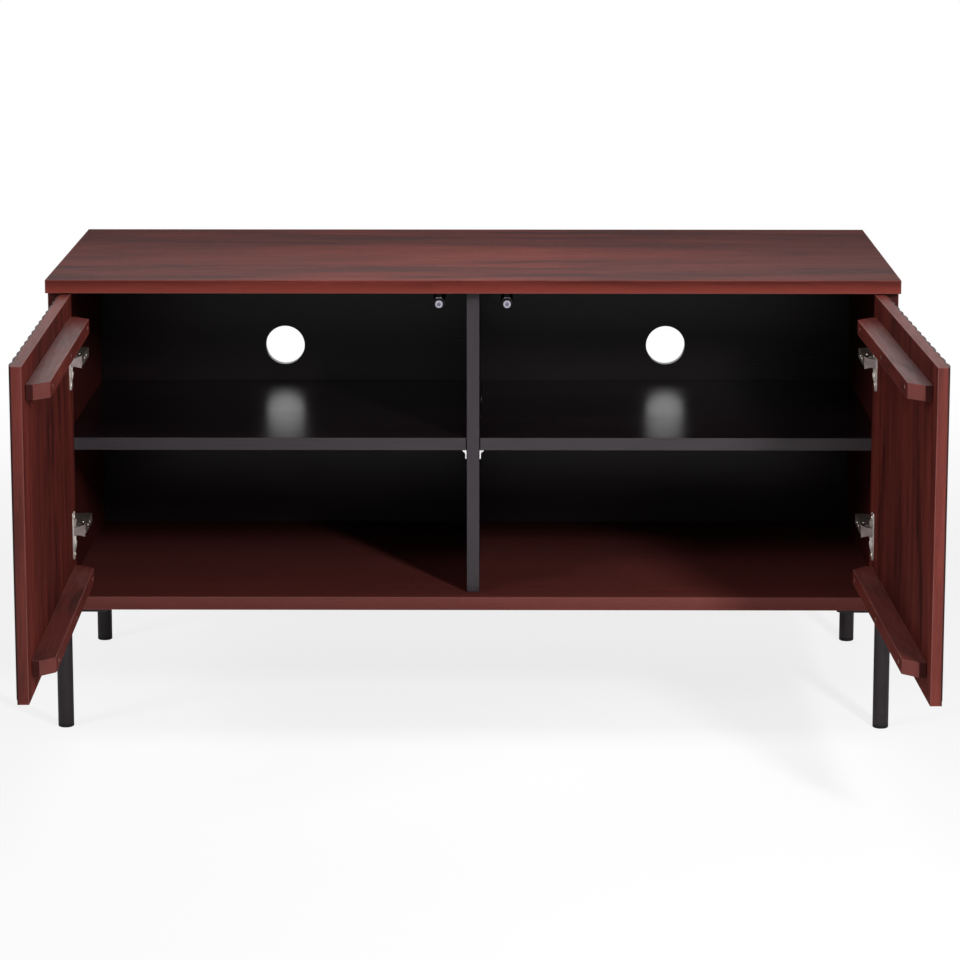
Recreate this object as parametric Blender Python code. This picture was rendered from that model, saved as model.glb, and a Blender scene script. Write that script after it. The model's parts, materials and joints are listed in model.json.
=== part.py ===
"""Low two-door media cabinet on four round legs, with reeded doors, cup hinges and push latches.

Sizes are in metres. The cabinet is laid out with x across the front from its middle, y back from the front
edge of the top panel, and z up from the floor. Doors and hinges are drawn shut, about the pivots of their
hinges, and swung open by the pivots' empties. A side is -1 for left and +1 for right.
"""

import math

import bmesh
import bpy
from mathutils import Matrix, Vector

# Carcass
WIDTH = 1.000
DEPTH = 0.442
LEG_HEIGHT = 0.146  # floor to the underside of the bottom panel
INNER_HEIGHT = 0.364  # top of the bottom panel to the underside of the top panel
BOARD = 0.016  # top, bottom and side panels
THIN_BOARD = 0.015  # divider and shelves
BACK_BOARD = 0.012
SIDE_SET_IN = 0.001  # side panel's outer face from the end of the top
BACK_SET_IN = 0.018  # back panel's rear face from the rear edge of the top
INNER_SET_BACK = 0.0255  # front edges of the divider and shelves from the front edge of the top
SHELF_SPACE_BELOW = 0.1725  # top of the bottom panel to the underside of a shelf
SHELF_PLAY = 0.0010  # between a shelf and what is beside it and behind it
CABLE_HOLE = 0.050  # diameter
CABLE_HOLE_ABOVE_SHELF = 0.046  # centre of the hole from the top of the shelf
EDGE_ROUND = 0.0008

# Gaps
SEAT = 0.0003  # between pieces that rest on or are fixed to each other
PIN_PLAY = 0.00035  # round a pin that turns in its eye

# Shelf supports
SUPPORT_PIN = 0.005  # diameter
SUPPORT_PIN_LENGTH = 0.0055
SUPPORT_HOLE_DEPTH = 0.0060
SUPPORT_HEIGHT = 0.0100
SUPPORT_LEDGE = 0.0045
SUPPORT_SHELL = 0.0014
SUPPORT_WIDTH = 0.0090
SUPPORT_END_SPACE = 0.0300  # from a shelf's front or rear edge to the middle of a support

# Legs
LEG_DIAMETER = 0.019
LEG_WALL = 0.0015
LEG_INSET = 0.0125  # axis from the ends and from the front and rear edges of the bottom panel
PLATE_SIZE = 0.064
PLATE_THICK = 0.003
PLATE_EDGE = 0.0035  # from the outer edges of the bottom panel to the mounting plate
PLATE_CORNER = 0.006
PLATE_SCREW = 0.005
PLATE_SCREW_EDGE = 0.010  # screw hole's centre from the plate's edges
GLIDE_FOOT = 0.004
GLIDE_SPIGOT = 0.010
GLIDE_ROUND = 0.0015

# Doors
DOOR_SET_BACK = 0.0005  # crest of the ribs from the front edge of the top, when shut
DOOR_BASE = 0.0126  # flat board behind the ribs
DOOR_BEHIND_GAP = 0.0020  # from the back of a shut door to the front edge of the side panel
DOOR_END_GAP = 0.0015  # from the end of the top to the hinge edge of a shut door
DOOR_MIDDLE_GAP = 0.0030  # between the two shut doors
DOOR_TOP_GAP = 0.0015
DOOR_BOTTOM_GAP = 0.0020
RIB_WIDE = 0.0395
RIB_NARROW = 0.0295
RIB_RISE = 0.0019
RIB_STEPS = 8
RIB_FOOT = 0.0050  # plain strip below the ribs
RIB_FOOT_SINK = 0.0002  # plain strip behind the grooves
BATTEN_HEIGHT = 0.0170
BATTEN_PROUD = 0.0245
BATTEN_FACET = 0.0080  # square part of a batten's end, before its chamfer
BATTEN_END_SPACE = 0.0270
BATTEN_EDGE_SPACE = 0.0235  # from the top or bottom edge of the door to a batten
LEFT_OPENING = math.radians(89.0)
RIGHT_OPENING = math.radians(91.5)

# Cup hinges
HINGE_FROM_TOP = 0.081  # upper hinge's middle from the top edge of the door
HINGE_FROM_BOTTOM = 0.077
ARM_PIVOT_IN = 0.0190  # arm's pin from the inner face of the side panel
ARM_PIVOT_BACK = 0.0050  # arm's pin from the front edge of the side panel
CUP_PIVOT_EDGE = 0.0118  # cup's pin from the hinge edge of the door
CUP_PIVOT_DEPTH = 0.0050  # cup's pin below the back of the door
LINK_SHARE = 0.4  # how far the link turns against the door, for each turn of the door
LINK_SHOULDER_OUT = 0.0133  # bend beside the cup's mouth, from the arm's pin, with the door shut
LINK_SHOULDER_AHEAD = 0.0132
LINK_CORNER_OUT = 0.0055  # far end of the link's flat face, measured the same way
LINK_CORNER_AHEAD = 0.0149
LINK_THICK = 0.0020
LINK_NECK = 0.0102  # height where it enters the cup
LINK_LUG = 0.0012  # thickness of the two lugs that hold the arm's pin
LUG_SHARE = 0.45  # width of a lug as a share of the flat face
PIN_RADIUS = 0.0015
EYE_WALL = 0.0011
CUP_RADIUS = 0.0172
CUP_EDGE = 0.0220  # centre of the cup from the hinge edge of the door
CUP_DEPTH = 0.0105
CUP_WALL = 0.0008
FLANGE_THICK = 0.0014
FLANGE_RIM = 0.0014  # flange beyond the cup's wall
FLANGE_LENGTH = 0.056
FLANGE_WIDTH = 0.017
FLANGE_CORNER = 0.0030
FLANGE_CUT = 0.0125  # flange's straight edge from the cup's centre, on the side where the link swings
ARM_METAL = 0.0012
ARM_HEIGHT = 0.0112
ARM_LENGTH = 0.056
ARM_NOSE = 0.0045  # radius of the cheeks round the pin
ARM_PLAY = 0.0003  # between a lug of the link and the arm's cheek
ARM_SLOPE_BACK = 0.0100  # from the pin to where the cheeks reach their full depth
WING_THICK = 0.0015
WING_LENGTH = 0.048
WING_WIDTH = 0.014
WING_CORNER = 0.0045
WING_BACK = 0.037  # wing's middle from the front edge of the side panel
BLOCK_START = 0.0080  # front of the mounting block behind the arm's pin
BLOCK_LENGTH = 0.040

# Push latches
LATCH_FROM_MIDDLE = 0.040
LATCH_BELOW_TOP = 0.015  # plunger's axis from the underside of the top panel
LATCH_BARREL = 0.0070  # radius
LATCH_LENGTH = 0.064
LATCH_BASE_WIDTH = 0.020
LATCH_BASE_THICK = 0.0025
LATCH_BASE_CORNER = 0.004
LATCH_NECK = 0.006
TIP_RADIUS = 0.0044
TIP_LENGTH = 0.0060
TIP_ROUND = 0.0008
ROD_RADIUS = 0.0034
ROD_LENGTH = 0.026
PUSH_TRAVEL = 0.0030
PUSH_SPARE = 0.0010  # left over when the plunger is pushed home
BORE_PLAY = 0.00035

# Facets round a full turn
FINE_TURN = 40
MEDIUM_TURN = 28
SMALL_TURN = 16
EYE_STEPS = 9  # round the free part of an eye or the nose of an arm

# Heights, from the floor
BOTTOM_TOP = LEG_HEIGHT + BOARD
TOP_UNDERSIDE = BOTTOM_TOP + INNER_HEIGHT
TOP_FACE = TOP_UNDERSIDE + BOARD
SHELF_UNDERSIDE = BOTTOM_TOP + SHELF_SPACE_BELOW
SHELF_TOP = SHELF_UNDERSIDE + THIN_BOARD
DOOR_TOP = TOP_UNDERSIDE - DOOR_TOP_GAP
DOOR_BOTTOM = BOTTOM_TOP + DOOR_BOTTOM_GAP

# Lines across the cabinet, from its middle
END = WIDTH / 2
SIDE_OUTER = END - SIDE_SET_IN
SIDE_INNER = SIDE_OUTER - BOARD
DIVIDER_FACE = THIN_BOARD / 2
DOOR_HINGE_EDGE = END - DOOR_END_GAP
DOOR_FREE_EDGE = DOOR_MIDDLE_GAP / 2
ARM_PIVOT_X = SIDE_INNER - ARM_PIVOT_IN
CUP_PIVOT_X = DOOR_HINGE_EDGE - CUP_PIVOT_EDGE
CUP_X = DOOR_HINGE_EDGE - CUP_EDGE

# Lines back from the front edge of the top
GROOVE_Y = DOOR_SET_BACK + RIB_RISE
DOOR_BACK_Y = GROOVE_Y + DOOR_BASE
SIDE_FRONT_Y = DOOR_BACK_Y + DOOR_BEHIND_GAP
BACK_FRONT_Y = DEPTH - BACK_SET_IN - BACK_BOARD
ARM_PIVOT_Y = SIDE_FRONT_Y + ARM_PIVOT_BACK
CUP_PIVOT_Y = DOOR_BACK_Y - CUP_PIVOT_DEPTH

SIDES = {"left": -1, "right": 1}
OPENINGS = {"left": LEFT_OPENING, "right": RIGHT_OPENING}
LEVELS = {
    "upper": DOOR_TOP - HINGE_FROM_TOP,
    "lower": DOOR_BOTTOM + HINGE_FROM_BOTTOM,
}


# Scene and finishes
def clear_scene():
    for thing in list(bpy.data.objects):
        bpy.data.objects.remove(thing, do_unlink=True)


def finish(name, colour, roughness, metallic=0.0):
    made = bpy.data.materials.new(name)
    made.use_nodes = True
    shader = made.node_tree.nodes["Principled BSDF"]
    shader.inputs["Base Color"].default_value = (*colour, 1.0)
    shader.inputs["Roughness"].default_value = roughness
    shader.inputs["Metallic"].default_value = metallic
    made.diffuse_color = (*colour, 1.0)
    return made


def make_finishes():
    return {
        "red_wood": finish("red_wood", (0.115, 0.024, 0.018), 0.42),
        "dark_board": finish("dark_board", (0.022, 0.020, 0.021), 0.35),
        "black_metal": finish("black_metal", (0.016, 0.015, 0.016), 0.45, 0.6),
        "nickel": finish("nickel", (0.55, 0.50, 0.45), 0.30, 1.0),
        "black_plastic": finish("black_plastic", (0.012, 0.012, 0.013), 0.50),
        "grey_tip": finish("grey_tip", (0.42, 0.41, 0.42), 0.40, 0.5),
        "white_plastic": finish("white_plastic", (0.78, 0.77, 0.74), 0.45),
    }


# Mesh helpers
def to_object(name, form, metal, parent):
    """Closed bmesh form as an object with its faces pointing out."""
    bmesh.ops.recalc_face_normals(form, faces=form.faces)
    mesh = bpy.data.meshes.new(name)
    form.to_mesh(mesh)
    form.free()
    thing = bpy.data.objects.new(name, mesh)
    bpy.context.scene.collection.objects.link(thing)
    if metal is not None:
        mesh.materials.append(metal)
    thing.parent = parent
    return thing


def block(name, low, high, metal=None, parent=None):
    form = bmesh.new()
    bmesh.ops.create_cube(form, size=1.0)
    low, high = Vector(low), Vector(high)
    size = high - low
    size = Vector(abs(length) for length in size)
    place = Matrix.Translation((low + high) / 2) @ Matrix.Diagonal((*size, 1.0))
    bmesh.ops.transform(form, matrix=place, verts=form.verts)
    return to_object(name, form, metal, parent)


def prism(name, outline, start, end, axis, metal=None, parent=None):
    """Outline of (across, along) points, extruded on one axis: Z takes (x, y), Y takes (x, z), X takes (y, z)."""
    spots = {
        "X": lambda a, b: (start, a, b),
        "Y": lambda a, b: (a, start, b),
        "Z": lambda a, b: (a, b, start),
    }[axis]
    step = {"X": (end - start, 0, 0), "Y": (0, end - start, 0), "Z": (0, 0, end - start)}[axis]
    form = bmesh.new()
    face = form.faces.new([form.verts.new(spots(a, b)) for a, b in outline])
    grown = bmesh.ops.extrude_face_region(form, geom=[face])
    moved = [item for item in grown["geom"] if isinstance(item, bmesh.types.BMVert)]
    bmesh.ops.translate(form, vec=step, verts=moved)
    return to_object(name, form, metal, parent)


def turned(name, profile, centre, axis, metal=None, parent=None, facets=MEDIUM_TURN):
    """Profile of (radius, height) points spun about its height, which then points along X, Y or Z."""
    form = bmesh.new()
    points = [form.verts.new((radius, 0, height)) for radius, height in profile]
    edges = [form.edges.new(pair) for pair in zip(points, points[1:] + points[:1])]
    bmesh.ops.spin(
        form,
        geom=points + edges,
        cent=(0, 0, 0),
        axis=(0, 0, 1),
        angle=math.tau,
        steps=facets,
        use_merge=True,
    )
    bmesh.ops.remove_doubles(form, verts=form.verts, dist=1e-6)
    bmesh.ops.dissolve_degenerate(form, edges=form.edges, dist=1e-7)
    turn = {
        "X": Matrix.Rotation(math.pi / 2, 4, "Y"),
        "Y": Matrix.Rotation(-math.pi / 2, 4, "X"),
        "Z": Matrix.Identity(4),
    }[axis]
    bmesh.ops.transform(form, matrix=Matrix.Translation(centre) @ turn, verts=form.verts)
    thing = to_object(name, form, metal, parent)
    smooth(thing)
    return thing


def rod(name, centre, radius, length, axis, metal=None, parent=None, facets=MEDIUM_TURN):
    """Plain cylinder that starts at its centre point and runs along +X, +Y or +Z."""
    form = bmesh.new()
    bmesh.ops.create_cone(
        form, cap_ends=True, segments=facets, radius1=radius, radius2=radius, depth=length
    )
    bmesh.ops.translate(form, vec=(0, 0, length / 2), verts=form.verts)
    turn = {
        "X": Matrix.Rotation(math.pi / 2, 4, "Y"),
        "Y": Matrix.Rotation(-math.pi / 2, 4, "X"),
        "Z": Matrix.Identity(4),
    }[axis]
    bmesh.ops.transform(form, matrix=Matrix.Translation(centre) @ turn, verts=form.verts)
    return to_object(name, form, metal, parent)


def smooth(thing):
    thing.data.shade_smooth()
    thing.data.set_sharp_from_angle(angle=math.radians(35))


def soften(thing, width=EDGE_ROUND):
    """Small round on a board's edges."""
    bevel = thing.modifiers.new("edge_round", "BEVEL")
    bevel.width = width
    bevel.segments = 2
    bevel.limit_method = "ANGLE"
    bevel.angle_limit = math.radians(40)


def combine(thing, tool, operation):
    """Boolean with a tool that the model leaves out."""
    tool.hide_render = True
    tool.display_type = "WIRE"
    change = thing.modifiers.new(tool.name, "BOOLEAN")
    change.operation = operation
    change.solver = "EXACT"
    change.object = tool


def cut(thing, tool):
    combine(thing, tool, "DIFFERENCE")


def fuse(thing, tool):
    combine(thing, tool, "UNION")


def arc(centre, radius, start, end, steps):
    """Points on an arc from one angle to another, in degrees, both ends included."""
    points = []
    for step in range(steps + 1):
        angle = math.radians(start + (end - start) * step / steps)
        points.append((centre[0] + radius * math.cos(angle), centre[1] + radius * math.sin(angle)))
    return points


def rounded_rectangle(low, high, radius):
    """Outline between two corners, with its corners rounded."""
    (left, near), (right, far) = low, high
    steps = 4
    outline = arc((right - radius, far - radius), radius, 0, 90, steps)
    outline += arc((left + radius, far - radius), radius, 90, 180, steps)
    outline += arc((left + radius, near + radius), radius, 180, 270, steps)
    outline += arc((right - radius, near + radius), radius, 270, 360, steps)
    return outline


def sided(side, outline):
    """Outline drawn for the right side, put on the side asked for."""
    return [(side * across, along) for across, along in outline]


def empty(name, parent, location=(0, 0, 0), turn=0.0):
    spot = bpy.data.objects.new(name, None)
    bpy.context.scene.collection.objects.link(spot)
    spot.empty_display_size = 0.03
    spot.parent = parent
    spot.location = location
    spot.rotation_euler = (0, 0, turn)
    return spot


# Door motion
def swung(x, y, opening):
    """Where a point of the shut right door lies once the door is open."""
    arm_pin = Vector((ARM_PIVOT_X, ARM_PIVOT_Y))
    link = Vector((CUP_PIVOT_X, CUP_PIVOT_Y)) - arm_pin
    cup_pin = arm_pin + Matrix.Rotation(-LINK_SHARE * opening, 2) @ link
    reach = Vector((x - CUP_PIVOT_X, y - CUP_PIVOT_Y))
    return cup_pin + Matrix.Rotation(opening, 2) @ reach


def rib_line():
    """Front of a door as (distance from its free edge, height above the grooves)."""
    width = DOOR_HINGE_EDGE - DOOR_FREE_EDGE
    points = [(0.0, 0.0)]
    start = 0.0
    number = 0
    while start < width - SEAT:
        rib = RIB_WIDE if number % 2 else RIB_NARROW
        end = min(start + rib, width)
        for step in range(1, RIB_STEPS + 1):
            distance = start + (end - start) * step / RIB_STEPS
            share = (distance - start) / rib
            points.append((distance, 4 * RIB_RISE * share * (1 - share)))
        start = end
        number += 1
    return points


def door_outline():
    """Plan of the shut right door, seen from above."""
    front = [(DOOR_FREE_EDGE + distance, GROOVE_Y - height) for distance, height in rib_line()]
    hinge_corner = (DOOR_HINGE_EDGE - EDGE_ROUND, DOOR_BACK_Y - EDGE_ROUND)
    free_corner = (DOOR_FREE_EDGE + EDGE_ROUND, DOOR_BACK_Y - EDGE_ROUND)
    back = arc(hinge_corner, EDGE_ROUND, 0, 90, 3) + arc(free_corner, EDGE_ROUND, 90, 180, 3)
    return front + back


def middle_of_depth():
    """Half way from the nearest point of the open doors to the back of the cabinet."""
    nearest = min(
        swung(x, y, opening).y for opening in OPENINGS.values() for x, y in door_outline()
    )
    return (nearest + DEPTH) / 2


# Carcass
def make_carcass(finishes, cabinet):
    wood, dark = finishes["red_wood"], finishes["dark_board"]
    top = block("top_panel", (-END, 0, TOP_UNDERSIDE), (END, DEPTH, TOP_FACE), wood, cabinet)
    bottom = block("bottom_panel", (-END, 0, LEG_HEIGHT), (END, DEPTH, BOTTOM_TOP), wood, cabinet)
    soften(top)
    soften(bottom)
    low, high = BOTTOM_TOP + SEAT, TOP_UNDERSIDE - SEAT
    for label, side in SIDES.items():
        panel = block(
            f"side_panel_{label}",
            (side * SIDE_INNER, SIDE_FRONT_Y, low),
            (side * SIDE_OUTER, DEPTH, high),
            wood,
            cabinet,
        )
        soften(panel)
        for y, z, row in support_spots():
            cut(panel, support_hole(f"side_hole_{label}_{row}", side * SIDE_INNER, y, z, cabinet))
    divider = block(
        "centre_divider",
        (-DIVIDER_FACE, INNER_SET_BACK, low),
        (DIVIDER_FACE, BACK_FRONT_Y - SEAT, high),
        dark,
        cabinet,
    )
    soften(divider)
    for label, side in SIDES.items():
        for y, z, row in support_spots():
            tool = support_hole(f"divider_hole_{label}_{row}", side * DIVIDER_FACE, y, z, cabinet)
            cut(divider, tool)
    make_back(dark, cabinet, low, high)
    for label, side in SIDES.items():
        shelf = block(
            f"shelf_{label}",
            (side * (DIVIDER_FACE + SHELF_PLAY), INNER_SET_BACK, SHELF_UNDERSIDE),
            (side * (SIDE_INNER - SHELF_PLAY), BACK_FRONT_Y - SHELF_PLAY, SHELF_TOP),
            dark,
            cabinet,
        )
        soften(shelf)


def make_back(dark, cabinet, low, high):
    """Back panel let in between the sides, with a cable hole behind each upper compartment."""
    reach = SIDE_INNER - SEAT
    back = block(
        "back_panel", (-reach, BACK_FRONT_Y, low), (reach, BACK_FRONT_Y + BACK_BOARD, high), dark, cabinet
    )
    soften(back)
    middle = (DIVIDER_FACE + SIDE_INNER) / 2
    height = SHELF_TOP + CABLE_HOLE_ABOVE_SHELF
    for label, side in SIDES.items():
        start = (side * middle, BACK_FRONT_Y - BACK_BOARD, height)
        tool = rod(
            f"cable_hole_{label}", start, CABLE_HOLE / 2, 3 * BACK_BOARD, "Y", None, cabinet, FINE_TURN
        )
        cut(back, tool)


# Shelf supports
def support_spots():
    """Middle of each support pin along a shelf's end, with its row's name."""
    z = SHELF_UNDERSIDE - SEAT - SUPPORT_HEIGHT / 2
    return (
        (INNER_SET_BACK + SUPPORT_END_SPACE, z, "front"),
        (BACK_FRONT_Y - SHELF_PLAY - SUPPORT_END_SPACE, z, "back"),
    )


def support_hole(name, face, y, z, cabinet):
    """Cutter of a blind hole in a board's face for a support's pin."""
    radius = SUPPORT_PIN / 2 + SEAT
    start = face - SUPPORT_HOLE_DEPTH
    return rod(name, (start, y, z), radius, 2 * SUPPORT_HOLE_DEPTH, "X", None, cabinet, SMALL_TURN)


def make_supports(finishes, cabinet):
    """Angle of plastic under each end of a shelf, front and back, with a pin into the board beside it."""
    top = SHELF_UNDERSIDE - SEAT
    inner = (SUPPORT_LEDGE, SUPPORT_HEIGHT / 2)
    sweep = (SUPPORT_LEDGE - SUPPORT_SHELL, SUPPORT_HEIGHT / 2 - SUPPORT_SHELL)
    for label, side in SIDES.items():
        for place, face, outward in (
            ("inner", side * DIVIDER_FACE, side),
            ("outer", side * SIDE_INNER, -side),
        ):
            for y, z, row in support_spots():
                outline = [(0, 0), (SUPPORT_LEDGE, 0), (SUPPORT_LEDGE, -SUPPORT_SHELL)]
                for step in range(1, 6):
                    angle = math.radians(90 - 90 * step / 5)
                    outline.append(
                        (
                            inner[0] - sweep[0] * math.cos(angle),
                            -inner[1] + sweep[1] * math.sin(angle),
                        )
                    )
                outline += [(SUPPORT_SHELL, -SUPPORT_HEIGHT), (0, -SUPPORT_HEIGHT)]
                plan = [(face + outward * (SEAT + across), top + drop) for across, drop in outline]
                body = prism(
                    f"shelf_support_{label}_{place}_{row}",
                    plan,
                    y - SUPPORT_WIDTH / 2,
                    y + SUPPORT_WIDTH / 2,
                    "Y",
                    finishes["white_plastic"],
                    cabinet,
                )
                length = SUPPORT_PIN_LENGTH + SEAT + SUPPORT_SHELL / 2
                tip = face - outward * SUPPORT_PIN_LENGTH
                start = tip if outward > 0 else tip - length
                pin = rod(
                    f"support_pin_{label}_{place}_{row}",
                    (start, y, z),
                    SUPPORT_PIN / 2,
                    length,
                    "X",
                    None,
                    cabinet,
                    SMALL_TURN,
                )
                fuse(body, pin)


# Legs
def make_legs(finishes, cabinet):
    radius = LEG_DIAMETER / 2
    bore = radius - LEG_WALL
    plate_low = LEG_HEIGHT - SEAT - PLATE_THICK
    foot_top = GLIDE_FOOT + SEAT
    for label, side in SIDES.items():
        for row, edge, inward in (("front", 0.0, 1), ("back", DEPTH, -1)):
            spot = f"{row}_{label}"
            x = side * (END - LEG_INSET)
            y = edge + inward * LEG_INSET
            leg_length = plate_low - SEAT - foot_top
            turned(
                f"leg_{spot}",
                [(bore, 0), (radius, 0), (radius, leg_length), (bore, leg_length)],
                (x, y, foot_top),
                "Z",
                finishes["black_metal"],
                cabinet,
            )
            make_leg_plate(spot, side, edge, inward, plate_low, finishes, cabinet)
            spigot = bore - SEAT
            rounding = [
                (radius - GLIDE_ROUND + a, GLIDE_ROUND + b)
                for a, b in arc((0, 0), GLIDE_ROUND, -90, 0, 4)
            ]
            turned(
                f"leg_glide_{spot}",
                [(0, 0)]
                + rounding
                + [
                    (radius, GLIDE_FOOT),
                    (spigot, GLIDE_FOOT),
                    (spigot, GLIDE_FOOT + GLIDE_SPIGOT),
                    (0, GLIDE_FOOT + GLIDE_SPIGOT),
                ],
                (x, y, 0),
                "Z",
                finishes["black_plastic"],
                cabinet,
            )


def make_leg_plate(spot, side, edge, inward, low, finishes, cabinet):
    """Square plate under the bottom panel's corner, with the leg at its own outer corner and three screw holes."""
    outer, inner = END - PLATE_EDGE, END - PLATE_EDGE - PLATE_SIZE
    near = edge + inward * PLATE_EDGE
    far = near + inward * PLATE_SIZE
    corners = (min(near, far), max(near, far))
    outline = rounded_rectangle((inner, corners[0]), (outer, corners[1]), PLATE_CORNER)
    plate = prism(
        f"leg_plate_{spot}",
        sided(side, outline),
        low,
        low + PLATE_THICK,
        "Z",
        finishes["black_metal"],
        cabinet,
    )
    deep = far - inward * PLATE_SCREW_EDGE
    shallow = near + inward * PLATE_SCREW_EDGE
    holes = (
        (inner + PLATE_SCREW_EDGE, deep),
        (inner + PLATE_SCREW_EDGE, shallow),
        (outer - PLATE_SCREW_EDGE, deep),
    )
    for number, (x, y) in enumerate(holes):
        tool = rod(
            f"plate_hole_{spot}_{number}",
            (side * x, y, low - PLATE_THICK),
            PLATE_SCREW / 2,
            3 * PLATE_THICK,
            "Z",
            None,
            cabinet,
            SMALL_TURN,
        )
        cut(plate, tool)


# Doors
def from_cup_pin(side, outline):
    """Outline of the shut right door's pieces, measured from the cup pin of the side asked for."""
    return [(side * (x - CUP_PIVOT_X), y - CUP_PIVOT_Y) for x, y in outline]


def make_door(label, side, finishes, pivot):
    wood = finishes["red_wood"]
    door = prism(
        f"door_{label}",
        from_cup_pin(side, door_outline()),
        DOOR_BOTTOM,
        DOOR_TOP,
        "Z",
        wood,
        pivot,
    )
    clear = BOARD
    strip = [
        (DOOR_FREE_EDGE - clear, GROOVE_Y + RIB_FOOT_SINK),
        (DOOR_FREE_EDGE - clear, DOOR_SET_BACK - clear),
        (DOOR_HINGE_EDGE + clear, DOOR_SET_BACK - clear),
        (DOOR_HINGE_EDGE + clear, GROOVE_Y + RIB_FOOT_SINK),
    ]
    tool = prism(
        f"rib_foot_{label}",
        from_cup_pin(side, strip),
        DOOR_BOTTOM - clear,
        DOOR_BOTTOM + RIB_FOOT,
        "Z",
        None,
        pivot,
    )
    cut(door, tool)
    bore_depth = CUP_DEPTH + SEAT
    for level, z in LEVELS.items():
        (x, y), = from_cup_pin(side, [(CUP_X, DOOR_BACK_Y - bore_depth)])
        bore = rod(
            f"cup_bore_{label}_{level}",
            (x, y, z),
            CUP_RADIUS + SEAT,
            bore_depth + clear,
            "Y",
            None,
            pivot,
            FINE_TURN,
        )
        cut(door, bore)
    for level, low in (
        ("upper", DOOR_TOP - BATTEN_EDGE_SPACE - BATTEN_HEIGHT),
        ("lower", DOOR_BOTTOM + BATTEN_EDGE_SPACE),
    ):
        batten = prism(
            f"door_batten_{label}_{level}",
            from_cup_pin(side, batten_outline()),
            low,
            low + BATTEN_HEIGHT,
            "Z",
            wood,
            pivot,
        )
        soften(batten)


def batten_outline():
    """Batten with both ends chamfered at 45 degrees down to a short square facet."""
    start = DOOR_FREE_EDGE + BATTEN_END_SPACE
    end = DOOR_HINGE_EDGE - BATTEN_END_SPACE
    base = DOOR_BACK_Y + SEAT
    facet = base + BATTEN_FACET
    face = base + BATTEN_PROUD
    chamfer = BATTEN_PROUD - BATTEN_FACET
    return [
        (start, base),
        (start, facet),
        (start + chamfer, face),
        (end - chamfer, face),
        (end, facet),
        (end, base),
    ]


# Hinges
def make_cup(label, level, side, z, finishes, pivot):
    """Steel cup let into the door, its screw flange on the door's back and its pin across the cup."""
    spot = f"{label}_{level}"
    (x, face), = from_cup_pin(side, [(CUP_X, DOOR_BACK_Y)])
    seat = face + SEAT
    edge = x - side * (CUP_RADIUS + FLANGE_RIM)
    sides = sorted((edge, edge + side * FLANGE_WIDTH))
    wing = rounded_rectangle(
        (sides[0], z - FLANGE_LENGTH / 2),
        (sides[1], z + FLANGE_LENGTH / 2),
        FLANGE_CORNER,
    )
    cup = prism(f"hinge_cup_{spot}", wing, seat, seat + FLANGE_THICK, "Y", finishes["nickel"], pivot)
    rim = rod(
        f"cup_rim_{spot}", (x, seat, z), CUP_RADIUS + FLANGE_RIM, FLANGE_THICK, "Y", None, pivot, FINE_TURN
    )
    fuse(cup, rim)
    reach = 2 * CUP_RADIUS
    trim = block(
        f"cup_trim_{spot}",
        (x + side * FLANGE_CUT, seat - CUP_DEPTH, z - reach),
        (x + side * reach, seat + CUP_DEPTH, z + reach),
        None,
        pivot,
    )
    cut(cup, trim)
    shell = rod(
        f"cup_shell_{spot}",
        (x, face - CUP_DEPTH, z),
        CUP_RADIUS,
        CUP_DEPTH + SEAT + CUP_WALL / 2,
        "Y",
        None,
        pivot,
        FINE_TURN,
    )
    fuse(cup, shell)
    hollow = rod(
        f"cup_hollow_{spot}",
        (x, face - CUP_DEPTH + CUP_WALL, z),
        CUP_RADIUS - CUP_WALL,
        2 * CUP_DEPTH,
        "Y",
        None,
        pivot,
        FINE_TURN,
    )
    cut(cup, hollow)
    offset = abs(CUP_PIVOT_X - CUP_X) + PIN_RADIUS
    span = math.sqrt((CUP_RADIUS - CUP_WALL / 4) ** 2 - offset**2)
    pin = rod(f"cup_pin_{spot}", (0, 0, z - span), PIN_RADIUS, 2 * span, "Z", None, pivot, SMALL_TURN)
    fuse(cup, pin)
    smooth(cup)


def lug_half():
    """Outer face of a link's lugs from the middle of its height."""
    return ARM_HEIGHT / 2 + ARM_PLAY + LINK_LUG


def link_eye():
    """Outer radius of the eyes that go round the hinge's pins."""
    return PIN_RADIUS + PIN_PLAY + EYE_WALL


def link_points():
    """Pin in the cup, shoulder and corner of a right link, measured from its pin in the arm."""
    cup_end = Vector((CUP_PIVOT_X - ARM_PIVOT_X, CUP_PIVOT_Y - ARM_PIVOT_Y))
    shoulder = Vector((LINK_SHOULDER_OUT, -LINK_SHOULDER_AHEAD))
    corner = Vector((LINK_CORNER_OUT, -LINK_CORNER_AHEAD))
    return cup_end, shoulder, corner


def link_face():
    """Side view of a right link's bent face, with the round eye at its cup end."""
    cup_end, shoulder, corner = link_points()
    toward = math.degrees(math.atan2(*(shoulder - cup_end).yx))
    neck = math.degrees(math.asin(LINK_THICK / 2 / link_eye()))
    eye = arc(cup_end, link_eye(), toward + neck, toward + 360 - neck, EYE_STEPS)
    front, back = [], []
    for spot, way in ((shoulder, corner - cup_end), (corner, corner - shoulder)):
        offset = Vector((way.y, -way.x)).normalized() * (LINK_THICK / 2)
        front.append(tuple(spot + offset))
        back.append(tuple(spot - offset))
    return eye + front + back[::-1]


def link_lug():
    """Side view of a right link's lug: a round eye about the arm's pin that widens towards the face."""
    _, shoulder, corner = link_points()
    root = corner.lerp(shoulder, LUG_SHARE)
    toward = math.degrees(math.atan2(*(corner + root).yx))
    return arc((0, 0), link_eye(), toward + 90, toward + 270, EYE_STEPS) + [tuple(corner), tuple(root)]


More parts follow.
